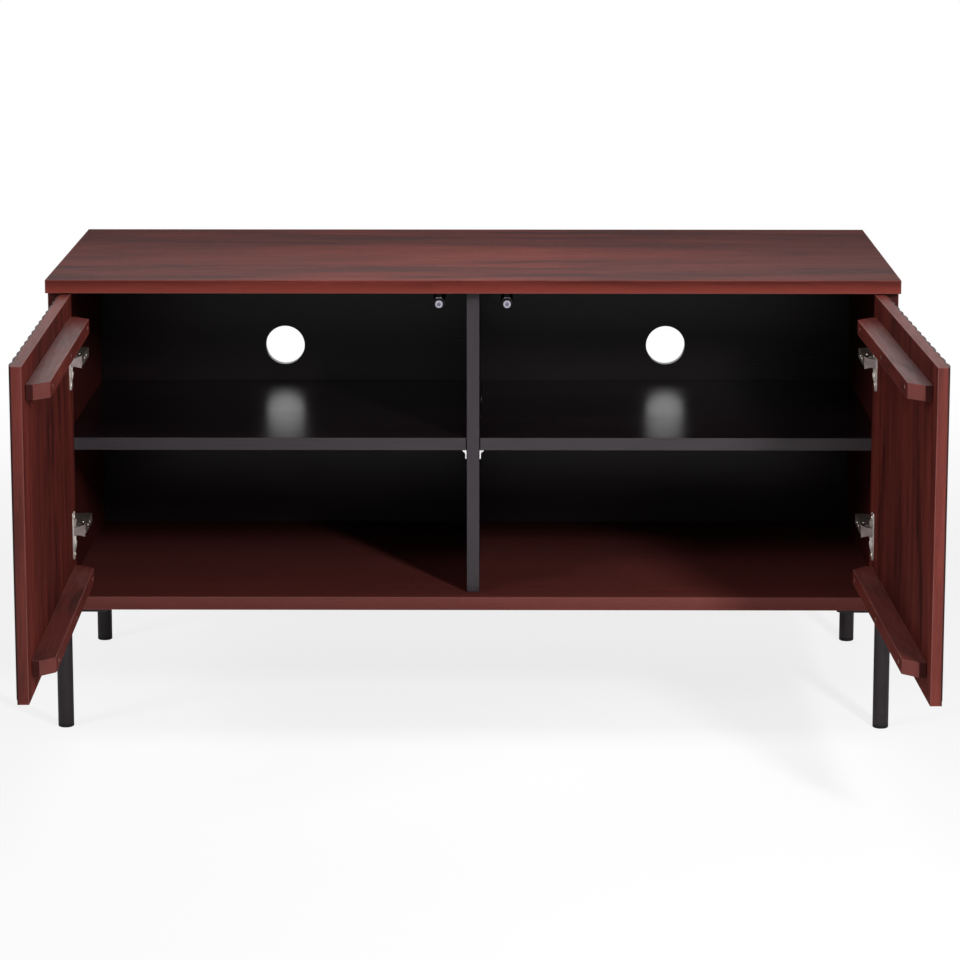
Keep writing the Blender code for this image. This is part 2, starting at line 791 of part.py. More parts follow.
def link_taper():
    """Front view of a right link: a narrow neck at the cup that widens over the face to the lugs."""
    _, shoulder, corner = link_points()
    neck, reach = LINK_NECK / 2, 2 * CUP_RADIUS
    slope = (lug_half() - neck) / (shoulder.x - corner.x - LINK_THICK / 2)
    wide = neck + slope * (shoulder.x + reach)
    upper = [(reach, neck), (shoulder.x, neck), (-reach, wide)]
    return upper + [(x, -height) for x, height in reversed(upper)]


def make_link(label, level, side, z, finishes, pivot):
    """Cranked steel link: a neck that holds the cup's pin, a flat face, and two lugs back to the arm's pin."""
    spot = f"{label}_{level}"
    reach = 2 * CUP_RADIUS
    link = prism(
        f"hinge_link_{spot}",
        sided(side, link_face()),
        z - CUP_RADIUS,
        z + CUP_RADIUS,
        "Z",
        finishes["nickel"],
        pivot,
    )
    for name, low in (("low", z - lug_half()), ("high", z + lug_half() - LINK_LUG)):
        lug = prism(f"lug_{name}_{spot}", sided(side, link_lug()), low, low + LINK_LUG, "Z", None, pivot)
        fuse(link, lug)
    profile = [(x, z + height) for x, height in sided(side, link_taper())]
    combine(link, prism(f"taper_{spot}", profile, -reach, reach, "Y", None, pivot), "INTERSECT")
    cup_end = link_points()[0]
    for end_name, end in (("arm", Vector((0, 0))), ("cup", cup_end)):
        hole = rod(
            f"eye_hole_{end_name}_{spot}",
            (side * end.x, end.y, z - reach),
            PIN_RADIUS + PIN_PLAY,
            2 * reach,
            "Z",
            None,
            pivot,
            SMALL_TURN,
        )
        cut(link, hole)
    smooth(link)


def arm_outline():
    """Side view of the arm: a round nose about its pin, then cheeks that deepen towards the side panel."""
    web = ARM_PIVOT_X - ARM_NOSE
    foot = SIDE_INNER - SEAT - WING_THICK - SEAT
    rear = ARM_PIVOT_Y + ARM_LENGTH
    nose = arc((ARM_PIVOT_X, ARM_PIVOT_Y), ARM_NOSE, 180, 315, EYE_STEPS)
    return nose + [
        (foot, ARM_PIVOT_Y + ARM_SLOPE_BACK),
        (foot, rear),
        (web, rear),
    ]


def make_arm(label, level, side, z, finishes, cabinet):
    """Channel-shaped steel arm, open to the side panel and at its nose, with the pin across its cheeks."""
    spot = f"{label}_{level}"
    outer = ARM_HEIGHT / 2
    half = outer - ARM_METAL
    pin_end = lug_half() + SEAT
    arm = prism(
        f"hinge_arm_{spot}",
        sided(side, arm_outline()),
        z - outer,
        z + outer,
        "Z",
        finishes["nickel"],
        cabinet,
    )
    inside = ARM_PIVOT_X - ARM_NOSE + ARM_METAL
    channel = block(
        f"arm_channel_{spot}",
        (side * inside, 0, z - half),
        (side * SIDE_OUTER, DEPTH, z + half),
        None,
        cabinet,
    )
    cut(arm, channel)
    pin = rod(
        f"arm_pin_{spot}",
        (side * ARM_PIVOT_X, ARM_PIVOT_Y, z - pin_end),
        PIN_RADIUS,
        2 * pin_end,
        "Z",
        None,
        cabinet,
        SMALL_TURN,
    )
    fuse(arm, pin)
    smooth(arm)
    make_hinge_plate(spot, side, z, half, inside, finishes, cabinet)


def make_hinge_plate(spot, side, z, half, inside, finishes, cabinet):
    """Winged plate screwed to the side panel, with the block that the arm is fixed over."""
    wing_face = SIDE_INNER - SEAT
    middle = SIDE_FRONT_Y + WING_BACK
    outline = rounded_rectangle(
        (middle - WING_WIDTH / 2, z - WING_LENGTH / 2),
        (middle + WING_WIDTH / 2, z + WING_LENGTH / 2),
        WING_CORNER,
    )
    plate = prism(
        f"hinge_plate_{spot}",
        outline,
        side * (wing_face - WING_THICK),
        side * wing_face,
        "X",
        finishes["nickel"],
        cabinet,
    )
    body = block(
        f"plate_block_{spot}",
        (side * (inside + SEAT), ARM_PIVOT_Y + BLOCK_START, z - half + SEAT),
        (
            side * (wing_face - WING_THICK / 2),
            ARM_PIVOT_Y + BLOCK_START + BLOCK_LENGTH,
            z + half - SEAT,
        ),
        None,
        cabinet,
    )
    fuse(plate, body)


# Latches
def make_latch(label, side, finishes, cabinet):
    """Push latch under the top panel: a barrel on a screwed base, and the plunger that a shut door rests on."""
    x = side * LATCH_FROM_MIDDLE
    z = TOP_UNDERSIDE - LATCH_BELOW_TOP
    tip_front = DOOR_BACK_Y + SEAT
    tip_back = tip_front + TIP_LENGTH
    barrel_front = tip_back + PUSH_TRAVEL + PUSH_SPARE
    base_top = TOP_UNDERSIDE - SEAT
    outline = rounded_rectangle(
        (x - LATCH_BASE_WIDTH / 2, barrel_front),
        (x + LATCH_BASE_WIDTH / 2, barrel_front + LATCH_LENGTH),
        LATCH_BASE_CORNER,
    )
    housing = prism(
        f"latch_housing_{label}",
        outline,
        base_top - LATCH_BASE_THICK,
        base_top,
        "Z",
        finishes["black_plastic"],
        cabinet,
    )
    neck = block(
        f"latch_neck_{label}",
        (x - LATCH_NECK / 2, barrel_front + LATCH_BASE_CORNER, z),
        (x + LATCH_NECK / 2, barrel_front + LATCH_LENGTH - LATCH_BASE_CORNER, base_top - LATCH_BASE_THICK / 2),
        None,
        cabinet,
    )
    fuse(housing, neck)
    barrel = rod(
        f"latch_barrel_{label}", (x, barrel_front, z), LATCH_BARREL, LATCH_LENGTH, "Y", None, cabinet
    )
    fuse(housing, barrel)
    rod_end = tip_back + ROD_LENGTH
    bore_end = rod_end + PUSH_TRAVEL + PUSH_SPARE
    bore = rod(
        f"latch_bore_{label}",
        (x, barrel_front - BOARD, z),
        ROD_RADIUS + BORE_PLAY,
        bore_end - barrel_front + BOARD,
        "Y",
        None,
        cabinet,
    )
    cut(housing, bore)
    smooth(housing)
    slide = empty(f"latch_slide_{label}", cabinet, (x, tip_front, z))
    rounding = [
        (TIP_RADIUS - TIP_ROUND + a, TIP_ROUND + b) for a, b in arc((0, 0), TIP_ROUND, -90, 0, 3)
    ]
    turned(
        f"latch_plunger_{label}",
        [(0, 0)]
        + rounding
        + [
            (TIP_RADIUS, TIP_LENGTH),
            (ROD_RADIUS, TIP_LENGTH),
            (ROD_RADIUS, TIP_LENGTH + ROD_LENGTH),
            (0, TIP_LENGTH + ROD_LENGTH),
        ],
        (0, 0, 0),
        "Y",
        finishes["grey_tip"],
        slide,
    )


def make_side_of_doors(label, side, finishes, cabinet):
    """One door with its two hinges, on empties that lie on the axes of the hinge pins."""
    opening = OPENINGS[label]
    link_pivot = empty(
        f"link_axis_{label}",
        cabinet,
        (side * ARM_PIVOT_X, ARM_PIVOT_Y, 0),
        -side * LINK_SHARE * opening,
    )
    door_pivot = empty(
        f"door_axis_{label}",
        link_pivot,
        (side * (CUP_PIVOT_X - ARM_PIVOT_X), CUP_PIVOT_Y - ARM_PIVOT_Y, 0),
        side * (1 + LINK_SHARE) * opening,
    )
    make_door(label, side, finishes, door_pivot)
    for level, z in LEVELS.items():
        make_cup(label, level, side, z, finishes, door_pivot)
        make_link(label, level, side, z, finishes, link_pivot)
        make_arm(label, level, side, z, finishes, cabinet)


def main():
    clear_scene()
    finishes = make_finishes()
    cabinet = empty("cabinet_origin", None, (0, -middle_of_depth(), 0))
    make_carcass(finishes, cabinet)
    make_supports(finishes, cabinet)
    make_legs(finishes, cabinet)
    for label, side in SIDES.items():
        make_side_of_doors(label, side, finishes, cabinet)
        make_latch(label, side, finishes, cabinet)


main()
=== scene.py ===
"""Finishes a two-door tv cabinet: veneer, black laminate, hinges, screws and a pale studio.

All sizes are in metres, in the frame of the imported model, with +Z up and the doors facing -Y.
"""
import json
import math
from typing import NamedTuple

import bmesh
import bpy
from bpy.props import FloatProperty, FloatVectorProperty, IntProperty, PointerProperty
from mathutils import Matrix, Vector


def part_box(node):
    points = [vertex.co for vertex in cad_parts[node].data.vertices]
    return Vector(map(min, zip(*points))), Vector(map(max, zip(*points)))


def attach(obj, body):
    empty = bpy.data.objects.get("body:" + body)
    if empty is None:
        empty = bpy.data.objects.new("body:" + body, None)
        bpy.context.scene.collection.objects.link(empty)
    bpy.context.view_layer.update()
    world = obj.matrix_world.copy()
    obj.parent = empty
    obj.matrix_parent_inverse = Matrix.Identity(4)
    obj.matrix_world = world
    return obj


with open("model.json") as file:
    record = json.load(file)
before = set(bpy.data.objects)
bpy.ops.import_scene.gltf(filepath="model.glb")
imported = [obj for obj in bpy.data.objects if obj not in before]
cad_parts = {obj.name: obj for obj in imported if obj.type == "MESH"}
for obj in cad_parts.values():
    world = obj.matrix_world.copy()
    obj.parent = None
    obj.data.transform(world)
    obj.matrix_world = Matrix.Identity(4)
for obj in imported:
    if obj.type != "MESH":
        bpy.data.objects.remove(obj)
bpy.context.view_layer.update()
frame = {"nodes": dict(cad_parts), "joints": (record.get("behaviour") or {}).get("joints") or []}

bl_info = {
    "name": "TV cabinet finish",
    "version": (1, 0, 0),
    "blender": (4, 5, 0),
    "location": "3D View > Sidebar > Cabinet",
    "description": "Veneer, laminate, metal, screws and studio for a two-door tv cabinet",
    "category": "Object",
}

SIDES = ("left", "right")
LEVELS = ("lower", "upper")
LEG_PLACES = ("front_left", "front_right", "back_left", "back_right")
DOOR_TURN_SHARE = 1.4  # the door's own joint turns this many times as far as the door opens
WELD = 0.00001  # distance at which the corners of neighbouring faces are joined
LACQUER_GLOSS = 0.03  # specular level of the open-pored satin lacquer
FILM_ROUGHNESS = 0.5  # of the thin film left on top of the lacquer
FILM_IOR = 1.3
RIB_WIDE = 0.0395  # the ribs of a door are narrow and wide in turn, from its free edge
RIB_NARROW = 0.0295
RIB_RISE = 0.0019
SUNK = 0.0002  # depth of a screw head's underside in the face that it sits on
CREASE_BOARD = 32.0  # degrees: a surface that turns by more than this keeps a crease
CREASE_DOOR = 20.0
CREASE_HINGE = 34.0
CREASE_SMALL = 38.0
COLLAR = (0.0048, 0.0066, 0.0008, 32)  # inner and outer radius, height and sides of a collar
STRIP = (0.0070, 0.0011, 0.0006)  # length, width and height of a latch's pale strip
FACING_FACE = (0.5, 0.8)  # share of a normal along an axis, from past the bevel to flat on
PORE_BAND = (0.60, 0.70)  # noise at which a pore begins and is at its full depth


def door_turn(side):
    """Angle about Z from a shut door to the door as it stands at rest, in radians."""
    swing = next(j for j in frame["joints"] if j["name"] == side + "_door_swing")
    turn = math.radians(-swing["range_deg"][0] / DOOR_TURN_SHARE)
    return turn * swing["axis"][2]


DOOR_TURNS = {side: door_turn(side) for side in SIDES}


# ---- settings


def setting(kind, **fixed):
    """A function that makes settings of one kind from a name, a description and a value."""

    def make(name, description, value):
        return kind(name=name, description=description, default=value, **fixed)

    return make


colour = setting(FloatVectorProperty, subtype="COLOR", size=3, min=0.0, max=1.0)
length = setting(FloatProperty, unit="LENGTH", min=0.0, precision=5)
share = setting(FloatProperty, subtype="FACTOR", min=0.0, max=1.0)
power = setting(FloatProperty, unit="POWER")
angle = setting(FloatProperty, subtype="ANGLE")
focal = setting(FloatProperty, unit="CAMERA")
number = setting(FloatProperty)
count = setting(IntProperty, min=12, max=64)


class WoodSettings(bpy.types.PropertyGroup):
    stain: colour("Stain", "Main tone of the stained veneer", (0.098, 0.0168, 0.0128))
    # Also laid as painted shade towards the back of the top and of the bottom, and over the side
    # panels' inner faces.
    dark: colour("Dark streaks", "Tone of the dark streaks and pores", (0.026, 0.0060, 0.0052))
    pale: colour("Pale streaks", "Tone of the pale streaks", (0.160, 0.033, 0.025))
    # Rubbed edges, partly real wear and partly a painted highlight along the rounded edges; also
    # painted light at the front of the bottom, on its front edge and on the battens' chamfered
    # ends.
    edge: colour("Rubbed edge", "Tone where the stain is thin at an edge", (0.180, 0.060, 0.054))
    # Painted light: the top's front edge is made lighter towards its underside, standing in for
    # light bounced up from the floor.
    nosing: colour("Nosing", "Tone of the top's edge band at its underside", (0.195, 0.039, 0.029))
    # Painted shade in the grooves of the reeded fronts and in the dark rim that follows the ribs at
    # the doors' ends.
    groove: colour("Groove", "Tone in the grooves of the reeded fronts", (0.022, 0.006, 0.005))
    roughness: share("Roughness", "Mean roughness of the satin lacquer", 0.66)
    edge_width: length("Edge width", "How far in from an edge the stain is thin", 0.0018)
    pore_depth: length("Pore depth", "Depth of the open pores", 0.00012)


class BoardSettings(bpy.types.PropertyGroup):
    face: colour("Face", "Black laminate face", (0.0074, 0.0043, 0.0058))
    edge: colour("Edge", "Grey edge band of the shelves and the divider", (0.0465, 0.0395, 0.0445))
    roughness: share("Roughness", "Mean roughness of the laminate", 0.25)
    rim_width: length("Rim width", "How far in from an edge the laminate is rubbed", 0.0009)


class MetalSettings(bpy.types.PropertyGroup):
    nickel: colour("Nickel", "Plated steel of the hinges and screws", (0.70, 0.63, 0.56))
    # Painted highlight: a lighter copy of the nickel for the hinge cups and flanges.
    bright: colour("Bright nickel", "Pressed cups and flanges of the hinges", (0.97, 0.91, 0.86))
    # Painted shade: a darker copy of the nickel for the hinge links.
    drawn: colour("Drawn nickel", "Bent links of the hinges", (0.23, 0.185, 0.18))
    bronze: colour("Bronzed steel", "Dull screws of the door battens", (0.30, 0.17, 0.15))
    coat: colour("Powder coat", "Black coat of the legs", (0.0155, 0.0118, 0.0130))
    black: colour("Black plastic", "Latch housings and leg glides", (0.005, 0.0045, 0.0055))
    tip: colour("Latch tip", "Middle of the moulded plungers", (0.155, 0.140, 0.200))
    rim: colour("Latch rim", "Rim of the plungers and strip above them", (0.42, 0.40, 0.47))
    white: colour("White plastic", "Shelf supports", (0.92, 0.91, 0.90))


class FastenerSettings(bpy.types.PropertyGroup):
    batten_screw: length("Batten screw", "Diameter of a screw head on a batten", 0.0045)
    hinge_screw: length("Hinge screw", "Diameter of a screw head on a hinge", 0.0072)
    arm_screw: length("Arm screw", "Diameter of a set screw in a hinge arm", 0.0058)
    leg_screw: length("Leg screw", "Diameter of a screw head under a leg plate", 0.0078)
    rivet: length("Rivet", "Diameter of a rivet head at a hinge pin", 0.0042)
    dome: share("Dome", "Height of a screw head as a share of its diameter", 0.26)
    batten_dome: share("Batten dome", "Share of that height on a batten", 0.6)
    hinge_dome: share("Hinge dome", "Share of that height on a hinge", 0.8)
    arm_dome: share("Arm dome", "Share of that height on a set screw", 0.7)
    facets: count("Facets", "Sides of a screw head", 28)


class StudioSettings(bpy.types.PropertyGroup):
    lens: focal("Lens", "Focal length", 130.6)
    shift: number("Shift", "Vertical shift of the frame", -0.1)
    distance: length("Distance", "Camera to the front edge of the top", 4.0202)
    rise: length("Rise", "Camera above the top", 0.6041)
    aside: length("Aside", "Camera to the right of the middle", 0.0312)
    tilt: angle("Tilt", "Downward tilt", math.radians(10.252))
    pan: angle("Pan", "Turn to the left", math.radians(0.325))
    key_power: power("Key power", "Lamp at the right front", 37.0)
    fill_power: power("Fill power", "Lamp at the left front", 58.0)
    top_power: power("Top power", "Strip lamp over the front part of the top", 1.4)
    rear_power: power("Rear power", "Lamp behind the cabinet", 6.0)
    spread: angle("Spread", "Width of the strip lamp's beam", math.radians(80.0))
    ambient: share("Ambient", "Light from all round, at eye level", 0.38)
    overhead: share("Overhead", "Light from straight above, as a share of that at eye level", 0.35)
    floor: share("Floor", "Tone of the pale floor", 0.80)


# ---- materials


def arithmetic(operation, swapped=False):
    """Operator of a wire that adds a node for its maths."""

    def apply(wire, other=0.0):
        return wire.join(operation, *((other, wire) if swapped else (wire, other)))

    return apply


class Wire:
    """The output of a node, as a number or a vector that expressions can use."""

    def __init__(self, nodes, socket, vector=False):
        self.nodes = nodes
        self.socket = socket
        self.vector = vector

    def join(self, operation, *pair):
        vector = any(isinstance(v, tuple) or getattr(v, "vector", False) for v in pair)
        kind = "ShaderNodeVectorMath" if vector else "ShaderNodeMath"
        settings = {"operation": operation}
        return self.nodes.node(kind, settings, dict(enumerate(pair)), vector=vector)

    __add__ = arithmetic("ADD")
    __radd__ = arithmetic("ADD", swapped=True)
    __sub__ = arithmetic("SUBTRACT")
    __rsub__ = arithmetic("SUBTRACT", swapped=True)
    __mul__ = arithmetic("MULTIPLY")
    __rmul__ = arithmetic("MULTIPLY", swapped=True)
    __truediv__ = arithmetic("DIVIDE")
    __mod__ = arithmetic("MODULO")
    __pow__ = arithmetic("POWER")
    __abs__ = arithmetic("ABSOLUTE")
    __gt__ = arithmetic("GREATER_THAN")


class Nodes:
    """A node tree, of a material, the world or a modifier, and the means to fill it."""

    def __init__(self, tree):
        self.tree = tree

    def node(self, kind, settings, values, output=0, vector=False):
        """Adds one node: its settings first, then the values or links of its sockets."""
        made = self.tree.nodes.new(kind)
        for name, value in settings.items():
            setattr(made, name, value)
        for key, value in values.items():
            self.feed(made.inputs[key], value)
        return Wire(self, made.outputs[output], vector)

    def feed(self, socket, value):
        if isinstance(value, Wire):
            self.tree.links.new(value.socket, socket)
        elif socket.type == "VECTOR" and not hasattr(value, "__len__"):
            socket.default_value = (value, value, value)
        elif socket.type == "RGBA":
            socket.default_value = (*tuple(value)[:3], 1.0)
        else:
            socket.default_value = value

    def combine(self, x, y, z):
        return self.node("ShaderNodeCombineXYZ", {}, {0: x, 1: y, 2: z}, vector=True)

    def separate(self, vector):
        """The three numbers of a vector."""
        first = self.node("ShaderNodeSeparateXYZ", {}, {0: vector})
        return [Wire(self, socket) for socket in first.socket.node.outputs]

    def ray(self, way):
        """1 for one way of light rays, such as Camera, and 0 for the others."""
        return self.node("ShaderNodeLightPath", {}, {}, output="Is %s Ray" % way)

    def larger(self, *pair):
        return self.node("ShaderNodeMath", {"operation": "MAXIMUM"}, dict(enumerate(pair)))


class Paint(Nodes):
    """One material and the nodes that colour it."""

    def __init__(self, name, **uniform):
        self.material = bpy.data.materials.new(name)
        self.material.use_nodes = True
        super().__init__(self.material.node_tree)
        self.shader = self.tree.nodes["Principled BSDF"]
        self.finish(**uniform)
        self.place = self.node("ShaderNodeTexCoord", {}, {}, output="Object", vector=True)
        self.facing = self.node("ShaderNodeTexCoord", {}, {}, output="Normal", vector=True)

    def turn_back(self, vector, middle, turn):
        """A vector as it is in the frame of a board turned about Z at its middle."""
        values = {"Vector": vector, "Location": middle, "Rotation": (0.0, 0.0, turn)}
        return self.node("ShaderNodeMapping", {"vector_type": "TEXTURE"}, values, vector=True)

    def noise(self, vector, detail=2.0, roughness=0.5):
        values = {"Vector": vector, "Scale": 1.0, "Detail": detail, "Roughness": roughness}
        return self.node("ShaderNodeTexNoise", {"noise_dimensions": "3D"}, values)

    def grade(self, value, low, high, start=0.0, end=1.0):
        """A smooth step: start where value is at most low, end where it is at least high."""
        values = {"Value": value, "From Min": low, "From Max": high, "To Min": start, "To Max": end}
        return self.node("ShaderNodeMapRange", {"interpolation_type": "SMOOTHSTEP"}, values)

    def mix(self, factor, first, second):
        """Two colours mixed by a number."""
        values = {0: factor, 6: first, 7: second}
        return self.node("ShaderNodeMix", {"data_type": "RGBA"}, values, output=2)

    def relief(self, height, distance):
        values = {"Height": height, "Distance": distance, "Strength": 1.0}
        self.finish(Normal=self.node("ShaderNodeBump", {}, values, vector=True))

    def finish(self, **sockets):
        for name, value in sockets.items():
            self.feed(self.shader.inputs[name.replace("_", " ")], value)


def upright_box(node, turn):
    """Lowest and highest corner of a node, in the frame of a board turned about Z."""
    straight = Matrix.Rotation(-turn, 3, "Z")
    points = [straight @ v.co for v in frame["nodes"][node].data.vertices]
    return [Vector([pick(p[i] for p in points) for i in range(3)]) for pick in (min, max)]


class Board:
    """Middle, half sizes and turn of a board, with the axes of its grain and of its two faces."""

    def __init__(self, node, grain, face, turn=0.0):
        low, high = upright_box(node, turn)
        self.turn = turn
        self.half = (high - low) / 2
        self.middle = Matrix.Rotation(turn, 3, "Z") @ ((low + high) / 2)
        self.grain = "XYZ".index(grain)
        self.face = "XYZ".index(face)
        self.across = 3 - self.grain - self.face

    def on(self, paint):
        """Places, the normal and the half sizes, each along, across and through the board.

        Places are in metres from its middle.
        """
        places = paint.separate(paint.turn_back(paint.place, self.middle, self.turn))
        facing = paint.separate(paint.turn_back(paint.facing, (0.0, 0.0, 0.0), self.turn))
        order = (self.grain, self.across, self.face)
        return [[values[i] for i in order] for values in (places, facing, self.half)]


def near_edges(paint, places, halves, width):
    """1 along the edges of a board, fading to 0 at width from them."""
    left = [half - abs(place) for place, half in zip(places, halves)]
    near = [paint.grade(distance, 0.0, width, 1.0, 0.0) for distance in left]
    pairs = [near[0] * near[1], near[1] * near[2], near[0] * near[2]]
    return paint.larger(paint.larger(pairs[0], pairs[1]), pairs[2])


def strands(paint, places, lengthwise, crosswise, seed=0.0, **settings):
    """Noise drawn out along the grain, with its cycles per metre along the grain and across it."""
    along, across, through = places
    place = paint.combine(along * lengthwise + seed, across * crosswise, through * crosswise)
    return paint.noise(place, **settings)


def wood_figure(paint, places, seed):
    """Flames, streaks, fibres and pores of a wood cut along its grain, each from 0 to 1."""
    along, across, through = places
    sway = strands(paint, places, 2.3, 5.0, seed) - 0.5
    drift = across + sway * 0.016
    wide = paint.combine(along * 1.6 + seed * 1.7, drift * 9.0, seed)
    spread = paint.noise(wide, detail=1.0) - 0.5
    bow = (drift * drift + 0.0022) ** 0.5
    ring = bow + along * 0.045 + spread * 0.050
    ring_place = paint.combine(ring * 27.0, along * 3.2 + seed, through * 30.0)
    flame = paint.noise(ring_place, detail=4.0, roughness=0.6)
    drifted = (along, drift, through)
    streak = strands(paint, drifted, 8.0, 62.0, seed, detail=4.0, roughness=0.65)
    fibre = strands(paint, drifted, 15.0, 620.0, -seed, detail=4.0, roughness=0.6)
    pore = strands(paint, drifted, 105.0, 2300.0, seed, detail=1.0)
    return flame, streak, fibre, pore


def lacquered(name):
    """Paint under the open-pored lacquer and its thin clear film."""
    return Paint(
        name,
        Specular_IOR_Level=LACQUER_GLOSS,
        Coat_Roughness=FILM_ROUGHNESS,
        Coat_IOR=FILM_IOR,
    )


def stained(paint, wood, tone, dark_band, pale_band, pale_share):
    """Base colour from the dark streaks over the main stain to the pale streaks, as tone rises."""
    base = paint.mix(paint.grade(tone, *dark_band), wood.dark, wood.stain)
    return paint.mix(paint.grade(tone, *pale_band) * pale_share, base, wood.pale)


def patchy_film(paint, places, weight):
    """Lays a thin clear film that follows the pores, so that short dashes break its sheen."""
    dash = strands(paint, places, 26.0, 420.0, detail=3.0)
    paint.finish(Coat_Weight=weight * paint.grade(dash, 0.36, 0.64, 0.75, 1.0))


def rib_sag(from_free):
    """How far a reeded front lies behind its crests, at a distance from the door's free edge."""
    place = from_free % (RIB_NARROW + RIB_WIDE)
    wide = place > RIB_NARROW
    part = (place - wide * RIB_NARROW) / (wide * (RIB_WIDE - RIB_NARROW) + RIB_NARROW)
    return (part * 2.0 - 1.0) ** 2.0 * RIB_RISE


class Finish(NamedTuple):
    """What sets the veneer of one board apart."""

    seed: float
    contrast: float  # of the figure
    washes: tuple  # tone and share of painted light and shade laid over one face, at its low and at its high side across the grain
    edging: tuple  # tone of the narrow edges, and its share next to the low and the high face; where the shares differ, the edge is painted lighter towards one face, as painted light
    film: tuple = (0.0, 0.0, 0.1)  # weight of the clear film at those sides and on narrow edges
    washed: int = 1  # 1 or -1 for the face with the painted light and shade at the high or the low end of the thickness
    reeded: int = 0  # 1 or -1 for a door with its free edge at the low or the high side


def veneer(name, board, wood, finish):
    """Stained open-pored veneer, whose figure on a board's ends follows their edges."""
    paint = lacquered(name)
    places, facing, halves = board.on(paint)
    end = abs(facing[0]) > 0.7
    along = places[0] + (places[1] - places[0]) * end
    across = places[1] + (places[0] - places[1]) * end
    seed, contrast = finish.seed, finish.contrast
    flame, streak, fibre, pore = wood_figure(paint, (along, across, places[2]), seed)
    tone = (flame * 0.48 + streak * 0.30 + fibre * 0.22 - 0.5) * contrast + 0.5
    pores = paint.grade(pore, *PORE_BAND)
    base = stained(paint, wood, tone, (0.37, 0.52), (0.50, 0.66), 0.85)
    broad_place = paint.combine(along * 1.3 + seed, across * 7.0, places[2] * 3.0 + seed)
    broad = paint.noise(broad_place)
    base = paint.mix(paint.grade(broad, 0.42, 0.64) * 0.34 * contrast, base, wood.dark)
    # Painted light and shade over one face, changing across the grain: on the top painted shade
    # towards the back, on the bottom painted light at the front and painted shade towards the back,
    # on the side panels' inner faces painted shade.
    (low_tone, low_share), (high_tone, high_share) = finish.washes
    backward = paint.grade(places[1], -halves[1], halves[1])
    washed = paint.grade(facing[2] * finish.washed, -0.5, 0.0)
    shading_share = (low_share + (high_share - low_share) * backward) * washed
    base = paint.mix(shading_share, base, paint.mix(backward, low_tone, high_tone))
    base = paint.mix(pores * 0.45, base, wood.dark)
    # Narrow edges take the edging tone; where its shares differ it is painted light: the top's
    # front edge is lighter towards its underside, the bottom's towards its top.
    narrow = paint.grade(abs(facing[2]), *FACING_FACE, 1.0, 0.0)
    edging, *edging_shares = finish.edging
    thin = narrow * paint.grade(places[2], -halves[2], halves[2], *edging_shares)
    base = paint.mix(thin, base, edging)
    low_film, high_film, narrow_film = finish.film
    on_face = paint.grade(places[1], -halves[1], halves[1], low_film, high_film)
    weight = on_face + (narrow_film - on_face) * narrow
    patchy_film(paint, (along, across, places[2]), weight)
    # Rubbed edges are lighter where the stain is thin, and the same tone stands in for the painted
    # highlight along the rounded edges.
    worn = paint.grade(fibre, 0.25, 0.6, 0.45, 0.85)
    rubbed = near_edges(paint, places, halves, wood.edge_width) * worn
    base = paint.mix(rubbed, base, wood.edge)
    # Painted shade: the grooves of a reeded front are darkened, and on the door's ends a dark rim
    # follows the ribs, standing in for their shaded fronts.
    if finish.reeded:
        crest = -halves[2]
        shaded_groove = paint.grade(places[2], crest + 0.0004, crest + 0.0018)
        front = paint.grade(places[2], crest + 0.0030, crest + 0.0040, 1.0, 0.0)
        base = paint.mix(shaded_groove * front * (1.0 - end), base, wood.groove)
        inside = places[2] - crest - rib_sag(halves[1] + places[1] * finish.reeded)
        shaded_rib_rim = paint.grade(inside, 0.0014, 0.0026, 1.0, 0.0)
        base = paint.mix(end * shaded_rib_rim, base, wood.groove)
    dull = wood.roughness + (fibre - 0.5) * 0.20 + pores * 0.12 - rubbed * 0.08
    paint.finish(Base_Color=base, Roughness=dull)
    paint.relief(fibre * 0.35 - pores * 0.65, wood.pore_depth)
    return paint.material


def solid_wood(name, board, wood, seed):
    """Stained solid wood of the battens, with painted light on the chamfered ends and painted shade
    on the square ends.
    """
    paint = lacquered(name)
    places, facing, halves = board.on(paint)
    flame, streak, fibre, pore = wood_figure(paint, places, seed)
    tone = flame * 0.34 + streak * 0.38 + fibre * 0.28
    pores = paint.grade(pore, *PORE_BAND)
    base = stained(paint, wood, tone, (0.37, 0.53), (0.52, 0.72), 0.8)
    base = paint.mix(pores * 0.5, base, wood.dark)
    # Rubbed edges are lighter where the stain is thin, and the same tone stands in for the painted
    # highlight along the rounded edges.
    worn = paint.grade(fibre, 0.25, 0.6, 0.5, 0.9)
    rubbed = near_edges(paint, places, halves, wood.edge_width) * worn
    # Painted light and shade on the batten ends: the chamfers are made paler, the square ends
    # darker.
    shaded_square_end = paint.grade(abs(facing[0]), 0.85, 0.97)
    end = paint.grade(abs(facing[0]), 0.3, 0.5)
    base = paint.mix(end * 0.6, base, wood.edge)
    base = paint.mix(shaded_square_end * 0.75, base, wood.dark)
    base = paint.mix(rubbed * (1.0 - shaded_square_end), base, wood.edge)
    patchy_film(paint, places, paint.grade(abs(facing[1]), *FACING_FACE, 0.05, 1.0))
    dull = wood.roughness + (fibre - 0.5) * 0.2 + end * 0.1
    paint.finish(Base_Color=base, Roughness=dull)
    paint.relief(fibre * 0.4 - pores * 0.6, wood.pore_depth)
    return paint.material


def scaled(tone, factor, lift=0.0):
    """A colour made lighter or darker."""
    return tuple(c * factor + lift for c in tone)


